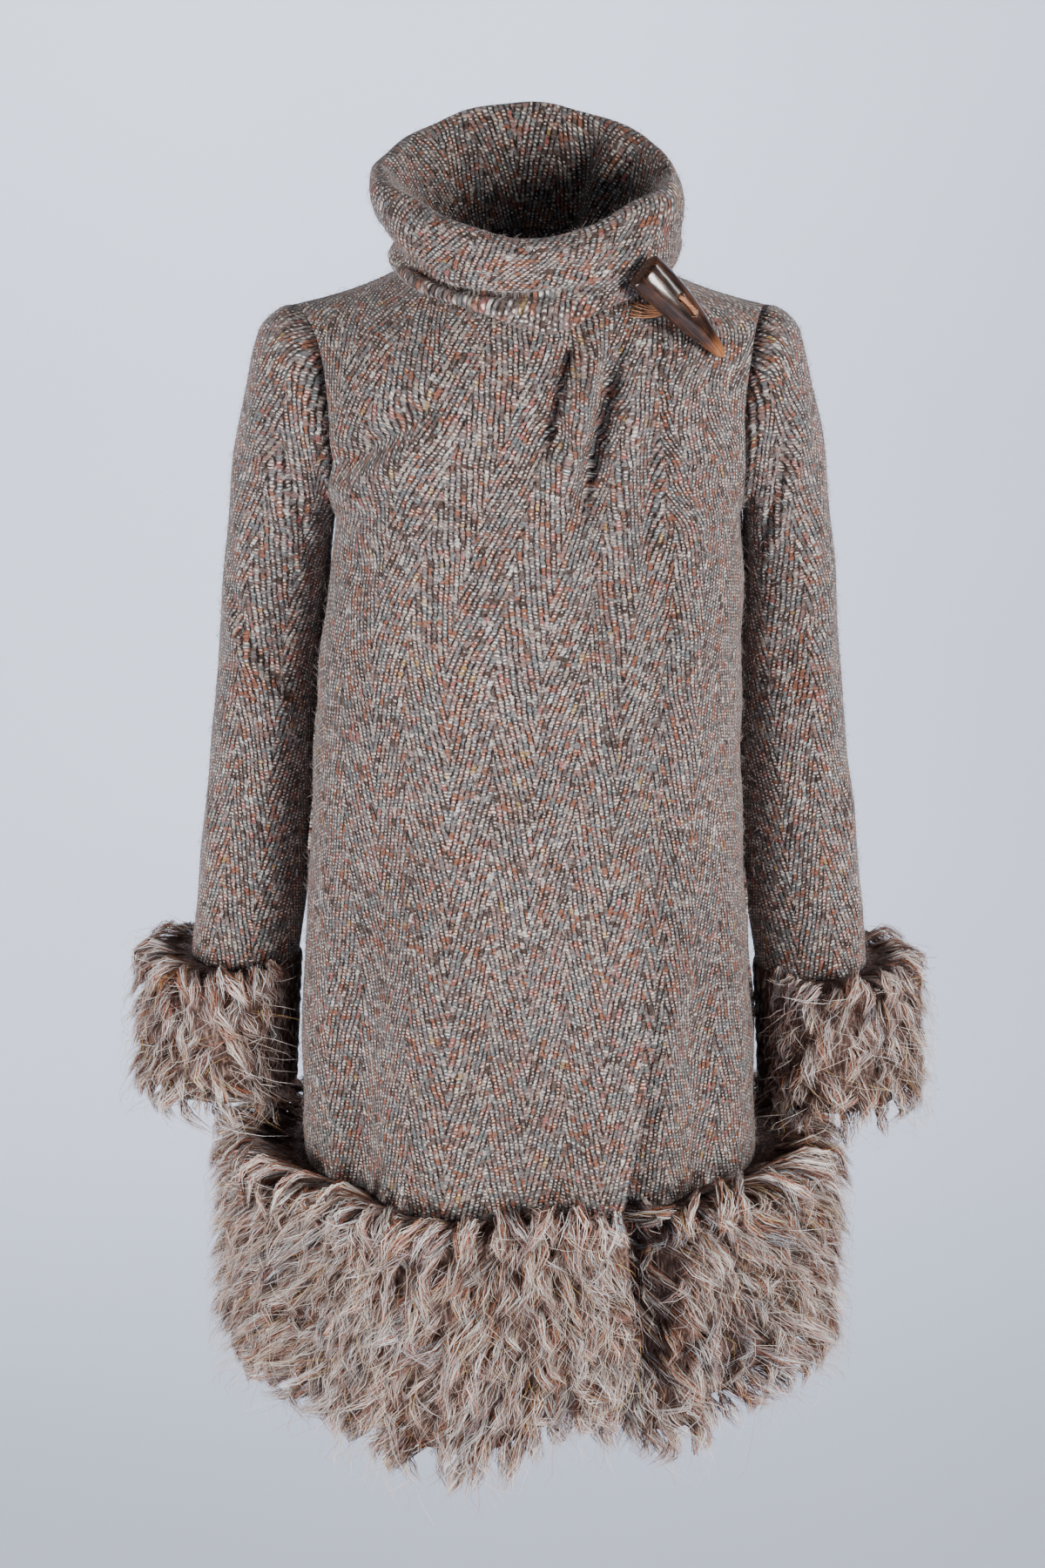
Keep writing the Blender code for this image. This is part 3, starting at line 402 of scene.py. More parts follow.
# %% Fronts and back as surfaces
Edge = namedtuple("Edge", "height over under")
FRONT_EDGES = (         # free edges, as shares of the half width by height parameter
    Edge(0.0, 0.26, 0.05),
    Edge(0.2, 0.34, 0.04),
    Edge(0.6, 0.44, 0.02),
    Edge(1.0, 0.44, 0.02),
    Edge(2.0, 0.54, 0.02),
    Edge(3.0, 0.38, 0.02),
)
EDGE_LIFT, EDGE_LIFT_TOP, EDGE_DIP = 0.017, -0.36, 0.011
EDGE_LIFT_BESIDE, EDGE_DIP_BESIDE = 0.30, 0.35      # shares of the half width that they take
TUCK, TUCK_DEEP, TUCK_FADE = 0.0042, 0.015, 0.12
CALM_TOP = 0.25         # of the height parameter, below the neckline and the shoulder seam


def slopes(surface, u, v):
    """Differences of a surface along u and v, one-sided at the ends of u and v."""
    u, v = np.broadcast_arrays(np.asarray(u, float), np.asarray(v, float))
    ahead, behind = np.minimum(u + STEP, u.max()), np.maximum(u - STEP, u.min())
    above, below = np.minimum(v + STEP, v.max()), np.maximum(v - STEP, v.min())
    return surface(ahead, v) - surface(behind, v), surface(u, above) - surface(u, below)


def raised(surface, u, v, sign, height):
    """A surface's points moved out along its normals by a height."""
    along_u, along_v = slopes(surface, u, v)
    return surface(u, v) + sign * unit(np.cross(along_u, along_v)) * height[..., None]


def front_base(u, v):
    return body(u, v, -1.0)


def back_base(u, v):
    return body(u, v, 1.0)


def over_edge(v):
    return through(FRONT_EDGES, "over", np.asarray(v, float))


def under_edge(v):
    return through(FRONT_EDGES, "under", np.asarray(v, float))


def near_hem(z):
    """0 above the place where the free edge starts to lift, and softly 1 at the hem."""
    return ease((EDGE_LIFT_TOP - z) / (EDGE_LIFT_TOP - HEM_Z))


def slight_waves(base, v, shift=0.0):
    """The cloth's unevenness, which the top seams hold flat."""
    return ease((TOP - v) / CALM_TOP) * unevenness(base[..., 0] + shift, base[..., 2])


def over_front(u, v):
    """The coat's right front: folds, and a free edge that lifts towards the hem."""
    base = front_base(u, v)
    lift = EDGE_LIFT * near_hem(base[..., 2]) * ease(1 + (u - over_edge(v)) / EDGE_LIFT_BESIDE)
    folds = fold_height(base[..., 0], base[..., 2], FRONT_FOLDS)
    return raised(front_base, u, v, 1.0, folds + lift + slight_waves(base, v))


def under_front(u, v):
    """The coat's left front: it dips below the over front and rises beside its edge."""
    base = front_base(u, v)
    beside = ease((u - over_edge(v)) / TUCK_FADE)
    behind = ease((over_edge(v) - u) / TUCK_FADE) * ease((TOP - v) / 0.8)
    dip = EDGE_DIP * near_hem(base[..., 2]) * (1 - ease((u - over_edge(v)) / EDGE_DIP_BESIDE))
    folds = fold_height(base[..., 0], base[..., 2], FRONT_FOLDS)
    height = folds * beside + np.minimum(folds, 0.0) * (1 - beside)
    height = height - TUCK * (1 - beside) - TUCK_DEEP * behind - dip
    return raised(front_base, u, v, 1.0, height + beside * slight_waves(base, v))


def back_panel(u, v):
    """The back: its folds on the smooth body."""
    base = back_base(u, v)
    folds = fold_height(base[..., 0], base[..., 2], BACK_FOLDS)
    return raised(back_base, u, v, -1.0, folds + slight_waves(base, v, 0.7))


# %% [markdown]
# ## Grain of the weave
#
# The herringbone runs straight down the back, the sleeves and the left front. The right front
# is wrapped across the chest and gathered below the toggle, so its threads lean towards the
# toggle there. A real weaver's cloth hardly stretches, so the map is the one that strains it
# least: for every edge of a coarse grid the wanted change is known, least squares finds the
# map that comes closest to all of them, and a smooth cubic takes it to the fine grid.

# %% Weave maps
def row_map(points, start_column=0):
    """Arc length across each row from one column, and height: metres on the cloth."""
    across = np.linalg.norm(np.diff(points, axis=1), axis=-1)
    across = np.concatenate([np.zeros((len(points), 1)), np.cumsum(across, 1)], 1)
    return np.stack([across - across[:, start_column:start_column + 1], points[..., 2]], -1)


def eased_map(points, up, lean=0.0, every=5):
    """The map that strains the cloth least, in metres across and along its threads.

    up is the way of the threads before they lean, and lean turns them, in radians.
    """
    rows, columns = (np.unique(np.linspace(0, n - 1, n // every).round().astype(int))
                     for n in points.shape[:2])
    normal = normals_of(points)
    upward = unit(up - np.sum(up * normal, -1, keepdims=True) * normal)
    aside = np.cross(upward, normal)
    lean = np.broadcast_to(lean, points.shape[:2])[..., None]
    warp = upward * np.cos(lean) + aside * np.sin(lean)
    weft = aside * np.cos(lean) - upward * np.sin(lean)
    place, weft, warp = (part[np.ix_(rows, columns)].reshape(-1, 3)
                         for part in (points, weft, warp))
    number = np.arange(len(place)).reshape(len(rows), len(columns))
    one = np.concatenate([number[:, :-1].ravel(), number[:-1].ravel()])
    two = np.concatenate([number[:, 1:].ravel(), number[1:].ravel()])
    run = place[two] - place[one]
    weight = 1 / np.sum(run**2, 1)
    wanted = np.stack([np.sum(run * (way[one] + way[two]) / 2, 1) for way in (weft, warp)], 1)
    wanted = wanted * weight[:, None]
    system, right = np.zeros((len(place), len(place))), np.zeros((len(place), 2))
    for near, far in ((one, two), (two, one)):
        np.add.at(system, (near, near), weight)
        np.add.at(system, (near, far), -weight)
    np.add.at(right, two, wanted)
    np.add.at(right, one, -wanted)
    system[0, 0] += weight.mean()
    found = np.linalg.solve(system, right).reshape(len(rows), len(columns), 2)
    found = smooth_rows(found, rows.astype(float), np.arange(float(points.shape[0])))
    found = smooth_rows(found.swapaxes(0, 1), columns.astype(float),
                        np.arange(float(points.shape[1])))
    return found.swapaxes(0, 1)


# %% [markdown]
# ## Materials: the tweed
#
# Up close the cloth is a thick herringbone: broken dark lines 4 mm apart lean left and right by
# turns in columns 31 mm wide, and between them lies fuzzy yarn in greys, pinks and rust with a
# bright dot every 2.7 mm, partly a cream fleck and partly a painted highlight on the bead's top;
# the bead's ends are painted darker, as painted shade between the beads. Pale slubs and a haze of
# fibres lie over it. A folded number line (ping-pong) gives the columns, its sum with the height
# gives the lines, and white noise per cell gives each bead its own colour.

# %% Node helpers
def fill(tree, node, inputs):
    """Fills a node's inputs, by number or name, with values or with links from sockets."""
    for key, value in dict(inputs).items():
        if isinstance(value, bpy.types.NodeSocket):
            tree.links.new(value, node.inputs[key])
        else:
            node.inputs[key].default_value = value


def put(tree, kind, inputs=(), **settings):
    """Adds a node, sets its options and fills its inputs."""
    made = tree.nodes.new(kind)
    for key, value in settings.items():
        setattr(made, key, value)
    fill(tree, made, inputs)
    return made


def calc(tree, operation, *values):
    """One Math node's result."""
    return put(tree, "ShaderNodeMath", enumerate(values), operation=operation).outputs[0]


def scaled(tree, vector, by):
    """A vector or colour times another, part by part."""
    return put(tree, "ShaderNodeVectorMath", {0: vector, 1: by}, operation="MULTIPLY").outputs[0]


def split(tree, value, kind="XYZ"):
    """The three parts of a vector, or of a colour."""
    return put(tree, f"ShaderNodeSeparate{kind}", {0: value}).outputs


def noise(tree, place, scale, detail=1.0, roughness=0.5, distortion=0.0):
    """A noise texture's outputs: 0 is its value, and "Color" has three values."""
    return put(tree, "ShaderNodeTexNoise",
               {"Vector": place, "Scale": scale, "Detail": detail, "Roughness": roughness,
                "Distortion": distortion}).outputs


def bump(tree, height, strength, distance):
    """The normal of a relief, whose full height is a distance in metres."""
    return put(tree, "ShaderNodeBump", {"Height": height, "Strength": strength,
                                        "Distance": distance}).outputs[0]


def soft_range(tree, value, low, high, to_low=0.0, to_high=1.0):
    """A value taken from one range to another with soft ends."""
    return put(tree, "ShaderNodeMapRange",
               {0: value, 1: low, 2: high, 3: to_low, 4: to_high},
               interpolation_type="SMOOTHSTEP").outputs[0]


def mix_colour(tree, factor, first, second):
    """One colour mixed over another."""
    first, second = ((*value, 1.0) if isinstance(value, tuple) else value
                     for value in (first, second))
    return put(tree, "ShaderNodeMix", {0: factor, 6: first, 7: second},
               data_type="RGBA").outputs[2]


def colour_steps(tree, value, steps, smooth=False):
    """A colour ramp through (position, colour) steps."""
    made = tree.nodes.new("ShaderNodeValToRGB")
    made.color_ramp.interpolation = "LINEAR" if smooth else "CONSTANT"
    while len(made.color_ramp.elements) < len(steps):
        made.color_ramp.elements.new(0.5)
    for element, (position, colour) in zip(made.color_ramp.elements, steps):
        element.position = position
        element.color = (*colour, 1.0)
    tree.links.new(value, made.inputs[0])
    return made.outputs[0]


def new_group(name, inputs, outputs):
    """An empty node group with named sockets: its tree, its inputs and its output node."""
    tree = bpy.data.node_groups.new(name, "ShaderNodeTree")
    for label, kind, value in inputs:
        socket = tree.interface.new_socket(label, in_out="INPUT", socket_type=kind)
        if value is not None:
            socket.default_value = value
    for label, kind in outputs:
        tree.interface.new_socket(label, in_out="OUTPUT", socket_type=kind)
    return tree, tree.nodes.new("NodeGroupInput").outputs, tree.nodes.new("NodeGroupOutput")


def new_material(name):
    """A material with its tree and its Principled shader."""
    made = bpy.data.materials.new(name)
    made.use_nodes = True
    return made, made.node_tree, made.node_tree.nodes["Principled BSDF"]


# %% Herringbone group
COLUMN = 0.031          # width of one herringbone column
LINE_PITCH = 0.0039     # between two dark lines
BEAD_PITCH = 0.0027     # between two beads along a line
LEAN = math.tan(math.radians(12.0))
YARNS = (               # share of the yarn from which each colour lies, in linear light
    (0.000, (0.195, 0.172, 0.176)), (0.200, (0.135, 0.096, 0.086)),
    (0.350, (0.165, 0.176, 0.182)), (0.490, (0.270, 0.165, 0.150)),
    (0.650, (0.275, 0.110, 0.070)), (0.780, (0.360, 0.300, 0.268)),
    (0.890, (0.080, 0.052, 0.044)), (0.945, (0.340, 0.130, 0.118)),
    (0.974, (0.380, 0.240, 0.100)), (0.982, (0.560, 0.530, 0.510)),
)
LINE_BROWN = (0.016, 0.011, 0.011)
DOT_CREAM_HIGHLIGHT = (0.98, 0.905, 0.830)
HAZE_PINK = (0.350, 0.305, 0.298)
SLUB_PALE = (0.500, 0.460, 0.448)
Waver = namedtuple("Waver", "scale aside up")
WAVERS = (              # how far the threads stray, in metres across and along the weave
    Waver(55.0, 0.0028, 0.0024), Waver(330.0, 0.0028, 0.0022), Waver(7.0, 0.0120, 0.0),
)
BEAD_SHIFT = 0.37       # of a bead from one line to the next
BEADS_PER_RUN = 1.6     # beads in a row that have the same yarn
# the dot's colour is a lit copy of the yarn's own colour mixed with cream: painted highlight
LIT_DOT_GAIN = (2.2, 2.2, 2.2)        # how much brighter than its ground a cream dot starts
SLUB_SCALE = (210.0, 95.0, 1.0)


def herringbone_group():
    """Colour and height of the tweed from a place on the cloth in metres."""
    tree, given, result = new_group(
        "herringbone tweed",
        [("Place", "NodeSocketVector", None), ("Tone", "NodeSocketFloat", 1.0)],
        [("Color", "NodeSocketColor"), ("Height", "NodeSocketFloat")])
    place = given["Place"]
    across, along, _ = split(tree, place)
    waves = [noise(tree, place, waver.scale) for waver in WAVERS]
    for waver, wave in zip(WAVERS, waves):
        stray = split(tree, wave["Color"], "Color")
        across = calc(tree, "MULTIPLY_ADD", stray[0], waver.aside, across)
        along = calc(tree, "MULTIPLY_ADD", stray[1], waver.up, along)
    zigzag = calc(tree, "PINGPONG", across, COLUMN)
    lines = calc(tree, "DIVIDE", calc(tree, "MULTIPLY_ADD", along, LEAN, zigzag), LINE_PITCH)
    line = calc(tree, "FLOOR", lines)
    beads = calc(tree, "MULTIPLY_ADD", line, BEAD_SHIFT,
                 calc(tree, "DIVIDE", along, BEAD_PITCH))
    bead = calc(tree, "FLOOR", beads)
    off_line, off_bead = (calc(tree, "ABSOLUTE", calc(
        tree, "SUBTRACT", calc(tree, "FRACT", value), 0.5)) for value in (lines, beads))
    cell = put(tree, "ShaderNodeCombineXYZ", {0: line, 1: bead}).outputs[0]
    own = split(tree, put(tree, "ShaderNodeTexWhiteNoise", {0: cell}).outputs["Color"], "Color")
    column = calc(tree, "FLOOR", calc(tree, "DIVIDE", across, COLUMN))
    run = calc(tree, "FLOOR", calc(tree, "MULTIPLY_ADD", own[2], 0.9,
                                   calc(tree, "DIVIDE", bead, BEADS_PER_RUN)))
    strip = put(tree, "ShaderNodeCombineXYZ", {0: line, 1: run, 2: column}).outputs[0]
    yarn = put(tree, "ShaderNodeTexWhiteNoise", {0: strip})
    colour = colour_steps(tree, yarn.outputs["Value"], YARNS)
    haze = noise(tree, place, 270.0, 3.0, 0.65)[0]
    fibre = noise(tree, place, 1500.0, 2.0)[0]
    # a bright dot in most cells, partly cream fleck and partly painted highlight on the bead's
    # top:
    # distance from the cell's middle, wider across than along
    wide, tall = (calc(tree, "POWER", calc(tree, "MULTIPLY", off, by), 2.0)
                  for off, by in ((off_line, 4.0), (off_bead, 3.9)))
    away = calc(tree, "SQRT", calc(tree, "ADD", wide, tall))
    dot = calc(tree, "MULTIPLY", soft_range(tree, away, 1.10, 0.62),
               soft_range(tree, own[0], 0.30, 0.72))
    dot_cream_and_highlight = mix_colour(tree, 0.84, scaled(tree, colour, LIT_DOT_GAIN), DOT_CREAM_HIGHLIGHT)
    # the ground is painted darker towards each bead's ends: painted shade between the beads
    ground = scaled(tree, colour, soft_range(tree, off_bead, 0.26, 0.50, 0.98, 0.48))
    lit = mix_colour(tree, dot, ground, dot_cream_and_highlight)
    # the dark lines, broken by the fuzz that lies over them
    edge = calc(tree, "MULTIPLY", soft_range(tree, off_line, 0.265, 0.390),
                soft_range(tree, haze, 0.64, 0.48, 0.20, 1.0))
    edge = calc(tree, "MULTIPLY", edge, soft_range(tree, own[1], 0.0, 0.30, 0.55, 1.0))
    lined = mix_colour(tree, edge, lit, LINE_BROWN)
    fuzzy = mix_colour(tree, soft_range(tree, haze, 0.55, 0.78, 0.0, 0.38), lined, HAZE_PINK)
    # pale slubs: stretched noise, cut off high
    slub = noise(tree, scaled(tree, place, SLUB_SCALE), 1.0, 2.0, 0.55)[0]
    slub_mask = soft_range(tree, slub, 0.61, 0.73, 0.0, 0.80)
    woven = mix_colour(tree, slub_mask, fuzzy, SLUB_PALE)
    # slow change of tone, as between dye lots, and the grain of single fibres
    slow = calc(tree, "MULTIPLY", soft_range(tree, waves[2][0], 0.3, 0.7, 0.93, 1.07),
                soft_range(tree, fibre, 0.30, 0.70, 0.74, 1.26))
    slow = calc(tree, "MULTIPLY", slow, given["Tone"])
    relief = calc(tree, "MULTIPLY_ADD", dot, 0.55, calc(tree, "MULTIPLY", edge, -0.70))
    for part, height in ((slub_mask, 0.45), (haze, 0.55), (fibre, 0.20)):
        relief = calc(tree, "MULTIPLY_ADD", part, height, relief)
    fill(tree, result, {"Color": scaled(tree, woven, slow), "Height": relief})
    return tree


HERRINGBONE = herringbone_group()


# %% Tweed material
def tweed_material(name):
    """Rough wool: the herringbone group's colour and relief, with a soft sheen of loose fibres."""
    made, tree, shader = new_material(name)
    grain = put(tree, "ShaderNodeUVMap", uv_map="grain").outputs[0]
    weave = put(tree, "ShaderNodeGroup", node_tree=HERRINGBONE)
    fill(tree, weave, {"Place": grain, "Tone": 1.0})
    fill(tree, shader, {
        "Base Color": weave.outputs["Color"],
        "Normal": bump(tree, weave.outputs["Height"], 0.75, 0.0011),
        "Roughness": 0.92, "Specular IOR Level": 0.2, "Sheen Weight": 0.28,
        "Sheen Roughness": 0.45, "Sheen Tint": (0.92, 0.86, 0.84, 1.0)})
    return made


TWEED = tweed_material("herringbone_tweed")
print("tweed ready")

# %% [markdown]
# ## Fronts and back
#
# Each panel is one wall of cloth over a grid of its own surface. The columns of a front run from
# the side seam to its free edge, which shows as a 3 mm thick border.

# %% Panels
V_ROWS = np.concatenate([np.linspace(0, 1, 80), np.linspace(1, 2, 18)[1:],
                         np.linspace(2, 3, 34)[1:]])
LEAN_MOST = math.radians(30.0)  # of the right front's threads, towards the toggle
DENSE_REACH = 0.14              # half width of the closer columns, as a share of the panel


def panel_grid(surface, left, right, columns, dense=0.5, more=0.0):
    """Points of a panel between two edges (shares of the half width by row). Columns stand
    closer together round the share called dense."""
    even = np.linspace(0, 1, 400)
    density = np.cumsum(1 + more * bell(even, dense, DENSE_REACH))
    share = np.interp(np.linspace(density[0], density[-1], columns), density, even)
    u = left[:, None] + (right - left)[:, None] * share
    v = np.broadcast_to(V_ROWS[:, None], u.shape)
    points = surface(u, v)
    points[0, :, 2] = HEM_Z
    return points


ones = np.ones_like(V_ROWS)
over_points = panel_grid(over_front, -ones, over_edge(V_ROWS), 84, 0.82, 2.0)
under_points = panel_grid(under_front, under_edge(V_ROWS), ones, 54)
back_points = panel_grid(back_panel, -ones, ones, 85)


def thread_lean(points):
    """Lean of the right front's threads: most at the chest, none at the hem, less at the
    shoulder and left of the toggle."""
    x, z = points[..., 0], points[..., 2]
    lean = LEAN_MOST * ease((z + 0.34) / 0.24) * ease((0.075 - x) / 0.17)
    return lean * (1 - 0.45 * ease((z + 0.09) / 0.07)) * ease((x + 0.26) / 0.14)


over_grain = eased_map(over_points, np.array([0.0, 0.0, 1.0]), thread_lean(over_points))
under_grain = row_map(under_points) + (0.011, 0.0)
back_grain = row_map(back_points, 42)

front_right = cloth_wall("right_front_cloth", over_points, TWEED, over_grain)
front_left = cloth_wall("left_front_cloth", under_points, TWEED, under_grain)
back = cloth_wall("back_cloth", back_points, TWEED, back_grain, inward=-1.0)
for piece, node in ((front_right, "front_right"), (front_left, "front_left"), (back, "back")):
    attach(piece, "root")
    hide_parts(node)

# %% [markdown]
# ## Sleeves
#
# A real sleeve is a tube cut with a rounded head, eased into the armhole. Here its first ring is
# the armhole itself, and ovals run from there down the arm. A smooth cubic joins the rings, and
# soft creases cross it at the elbow and the underarm.

# %% Sleeve sections
Section = namedtuple("Section", "over_x over_z under_z clear front_y back_y")
SLEEVE = (
    Section(0.1960, -0.0025, -0.1610, 0.0012, -0.056, 0.060),
    Section(0.2065, -0.0120, -0.1655, 0.0014, -0.054, 0.068),
    Section(0.2165, -0.0340, -0.1830, 0.0016, -0.048, 0.080),
    Section(0.2255, -0.0700, -0.2050, 0.0015, -0.040, 0.089),
    Section(0.2340, -0.1120, -0.2310, -0.0005, -0.031, 0.096),
    Section(0.2430, -0.1800, -0.2700, -0.0012, -0.025, 0.100),
    Section(0.2500, -0.2500, -0.3150, -0.0015, -0.022, 0.102),
    Section(0.2560, -0.3200, -0.3620, -0.0015, -0.020, 0.100),
    Section(0.2625, -0.3900, -0.4150, -0.0012, -0.018, 0.096),
    Section(0.2700, -0.4600, -0.4700, 0.0000, -0.018, 0.092),
    Section(0.2795, -0.5400, -0.5400, 0.0060, -0.020, 0.087),
)
Arm = namedtuple("Arm", "name side drop")
ARMS = (Arm("right", -1.0, 0.003), Arm("left", 1.0, 0.012))
SLEEVE_ROWS, SLEEVE_COLUMNS = 92, 60
SLEEVE_RADIUS, SLEEVE_LENGTH = 0.058, 0.56  # for measuring folds round the arm and down it
SLEEVE_CALM = 0.03          # without folds, at both ends
SLEEVE_FOLDS = {            # x is the way round from the outer line, + to the front
    "right": (
        Fold(0.060, -0.060, 0.150, -0.120, 0.0080, 0.0100, -0.0062),
        Fold(0.045, -0.085, 0.150, -0.165, 0.0120, 0.0150, 0.0052),
        Fold(0.020, -0.230, 0.130, -0.285, 0.0080, 0.0120, -0.0050),
        Fold(0.030, -0.255, 0.140, -0.300, 0.0130, 0.0130, 0.0042),
        Fold(0.120, -0.150, 0.060, -0.420, 0.0150, 0.0150, -0.0050),
        Fold(0.030, -0.380, 0.060, -0.560, 0.0200, 0.0200, 0.0036),
        Fold(-0.140, -0.100, -0.040, -0.200, 0.0140, 0.0140, -0.0045),
        Fold(-0.060, -0.240, -0.150, -0.330, 0.0120, 0.0160, -0.0045),
    ),
    "left": (
        Fold(0.060, -0.055, 0.150, -0.110, 0.0080, 0.0100, -0.0062),
        Fold(0.050, -0.080, 0.150, -0.150, 0.0120, 0.0150, 0.0048),
        Fold(0.030, -0.260, 0.130, -0.225, 0.0080, 0.0120, -0.0048),
        Fold(0.100, -0.170, 0.070, -0.440, 0.0150, 0.0150, -0.0044),
        Fold(0.020, -0.360, 0.040, -0.560, 0.0220, 0.0220, 0.0038),
        Fold(-0.130, -0.110, -0.040, -0.190, 0.0140, 0.0140, -0.0045),
        Fold(-0.050, -0.250, -0.140, -0.310, 0.0120, 0.0160, -0.0045),
    ),
}


# %% Sleeve surface
def armhole(side, front):
    """Points round an armhole: shoulder, front, underarm, back."""
    v = V_ROWS[V_ROWS >= 1.0]
    grid_u = np.stack([np.full_like(v, side * 0.98), np.full_like(v, side)], 1)
    grid_v = np.broadcast_to(v[:, None], grid_u.shape)
    fore, aft = front(grid_u, grid_v)[:, 1], back_panel(grid_u, grid_v)[:, 1]
    top, bottom = (fore[-1] + aft[-1]) / 2, (fore[0] + aft[0]) / 2
    return np.concatenate([top[None], fore[-2:0:-1], bottom[None], aft[1:-1]])


def even_ring(ring, count):
    """A closed ring of points spaced again evenly along its own length."""
    ring = np.concatenate([ring, ring[:1]])
    length = lengths_along(ring)
    at = np.linspace(0, length[-1], count, endpoint=False)
    return np.stack([np.interp(at, length, ring[:, k]) for k in range(3)], 1)


def sleeve_ring(section, arm, angles):
    """An oval between the sleeve's outer line and its inner line beside the body."""
    drop = arm.drop * ease((UNDERARM_Z - section.over_z) / (UNDERARM_Z - SLEEVE[-1].over_z))
    under_z = min(section.under_z - drop, UNDERARM_Z)
    side_x = through(BODY, "half_width", under_z) + arm.side * through(BODY, "shift", under_z)
    over = np.array([arm.side * section.over_x, 0.0, section.over_z - drop])
    under = np.array([arm.side * (side_x + section.clear), 0.0, section.under_z - drop])
    middle_y = (section.front_y + section.back_y) / 2
    half_y = (section.back_y - section.front_y) / 2
    ring = (over + under) / 2 + (over - under) / 2 * np.cos(angles)[:, None]
    ring[:, 1] = middle_y - half_y * np.sin(angles)
    return ring


def through_rings(rings, count):
    """Smooth cubic through whole rings of points, at even steps of their mean spacing."""
    spacing = np.linalg.norm(np.diff(rings, axis=0), axis=-1).mean(-1)
    knots = np.concatenate([[0.0], np.cumsum(spacing)])
    return smooth_rows(rings, knots, np.linspace(0, knots[-1], count))


def sleeve_grid(arm):
    """The sleeve's outer points by ring, with its folds raised along the normals."""
    hole = even_ring(armhole(arm.side, over_front if arm.side < 0 else under_front),
                     SLEEVE_COLUMNS)
    middle, half = (hole.max(0) + hole.min(0)) / 2, (hole.max(0) - hole.min(0)) / 2
    angles = np.arctan2((middle[1] - hole[:, 1]) / half[1], (hole[:, 2] - middle[2]) / half[2])
    rings = np.stack([hole] + [sleeve_ring(s, arm, angles) for s in SLEEVE])
    rings[0] += unit(rings[1] - rings[0]) * SEAM_GAP
    points = through_rings(rings, SLEEVE_ROWS)
    down = np.linspace(0, -SLEEVE_LENGTH, SLEEVE_ROWS)[:, None] + np.zeros(SLEEVE_COLUMNS)
    turn = np.broadcast_to(angles * SLEEVE_RADIUS, down.shape)
    height = fold_height(turn, down, SLEEVE_FOLDS[arm.name])
    height += unevenness(turn + arm.side, down)
    height *= ease(-down / SLEEVE_CALM) * ease((SLEEVE_LENGTH + down) / SLEEVE_CALM)
    inner_side = ease((-np.cos(np.broadcast_to(angles, down.shape)) - 0.2) / 0.5)
    height *= 1 - inner_side
    return points + arm.side * normals_of(points, True) * height[..., None]


# %% Sleeve pieces
sleeves, sleeve_points = {}, {}
for arm in ARMS:
    # the first column comes to the inner line, where the sleeve's own seam is
    points = np.roll(sleeve_grid(arm), -SLEEVE_COLUMNS // 2, axis=1)
    closed = np.concatenate([points, points[:, :1]], 1)
    sleeve_points[arm.name] = closed
    grain = eased_map(closed, np.array([-0.16 * arm.side, 0.0, 1.0])) + (0.013, 0.0)
    sleeve = cloth_wall(f"sleeve_{arm.name}_cloth", points, TWEED, grain, wrap=True,
                        inward=arm.side)
    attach(sleeve, "root")
    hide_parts(f"sleeve_{arm.name}")
    sleeves[arm.name] = sleeve

# %% [markdown]
# ## Collar
#
# The real collar is one wide soft band, sewn to the neckline, folded over and buttoned to itself
# on the left. Its rings run from the outer edge over the rim and down the throat to the neck
# seam. Round the neck each ring is an ellipse with its own four radii and heights, and the
# outer edge rests on the shoulders, which a ray cast from above finds.

# %% Collar rings
Ring = namedtuple("Ring", "front back left right z_front z_back z_left z_right")
COLLAR = (
    Ring(0.1130, 0.088, 0.103, 0.107, 0.007, 0.052, 0.036, 0.034),  # outer edge
    Ring(0.1240, 0.096, 0.110, 0.113, 0.017, 0.062, 0.045, 0.042),  # low roll
    Ring(0.1150, 0.090, 0.104, 0.109, 0.027, 0.074, 0.053, 0.049),  # crease
    Ring(0.1280, 0.101, 0.118, 0.117, 0.037, 0.092, 0.066, 0.060),  # roll, low side
    Ring(0.1305, 0.107, 0.124, 0.119, 0.052, 0.116, 0.086, 0.078),  # roll, widest
    Ring(0.1270, 0.108, 0.124, 0.118, 0.065, 0.136, 0.102, 0.096),  # rim, outside
    Ring(0.1185, 0.101, 0.116, 0.111, 0.071, 0.146, 0.108, 0.104),  # rim, top
    Ring(0.1100, 0.093, 0.106, 0.103, 0.066, 0.140, 0.103, 0.096),  # rim, inside
    Ring(0.1010, 0.084, 0.093, 0.093, 0.051, 0.117, 0.087, 0.079),  # throat, high
    Ring(0.0960, 0.076, 0.080, 0.082, 0.034, 0.090, 0.068, 0.063),  # throat, low
    Ring(0.0917, 0.0655, 0.0675, 0.0675, 0.0140, 0.0580, 0.0480, 0.0480),  # neck seam
    Ring(0.0897, 0.0635, 0.0655, 0.0655, 0.0080, 0.0520, 0.0420, 0.0420),  # seam allowance
)
COLLAR_END_LOW, COLLAR_END_RIM = math.radians(47.0), math.radians(72.0)
COLLAR_STEP = 0.0050        # how far the over end stands proud
COLLAR_SLIT = math.radians(0.7)
COLLAR_REST = 0.0016        # clearance of the outer edge above the shoulders
COLLAR_BEND_BACK, COLLAR_BEND_FRONT, COLLAR_BEND_LAP = 1.35, 2.0, 2.7
CREASE_RING = 2
LAP_SPREAD = 0.008          # how much further the outer edge lies below the toggle
LAP_MIDDLE, LAP_REACH = 0.32, 0.45      # turns from the front
CREASE_OUT = 0.011          # of the low crease, where the band lies smooth beside the toggle
RIM_FOLD, RIM_FOLD_TURN = 0.007, (2.36, 2.66)   # a fold of the rim, and the swell beside it
COLLAR_ROWS, COLLAR_COLUMNS = 72, 160


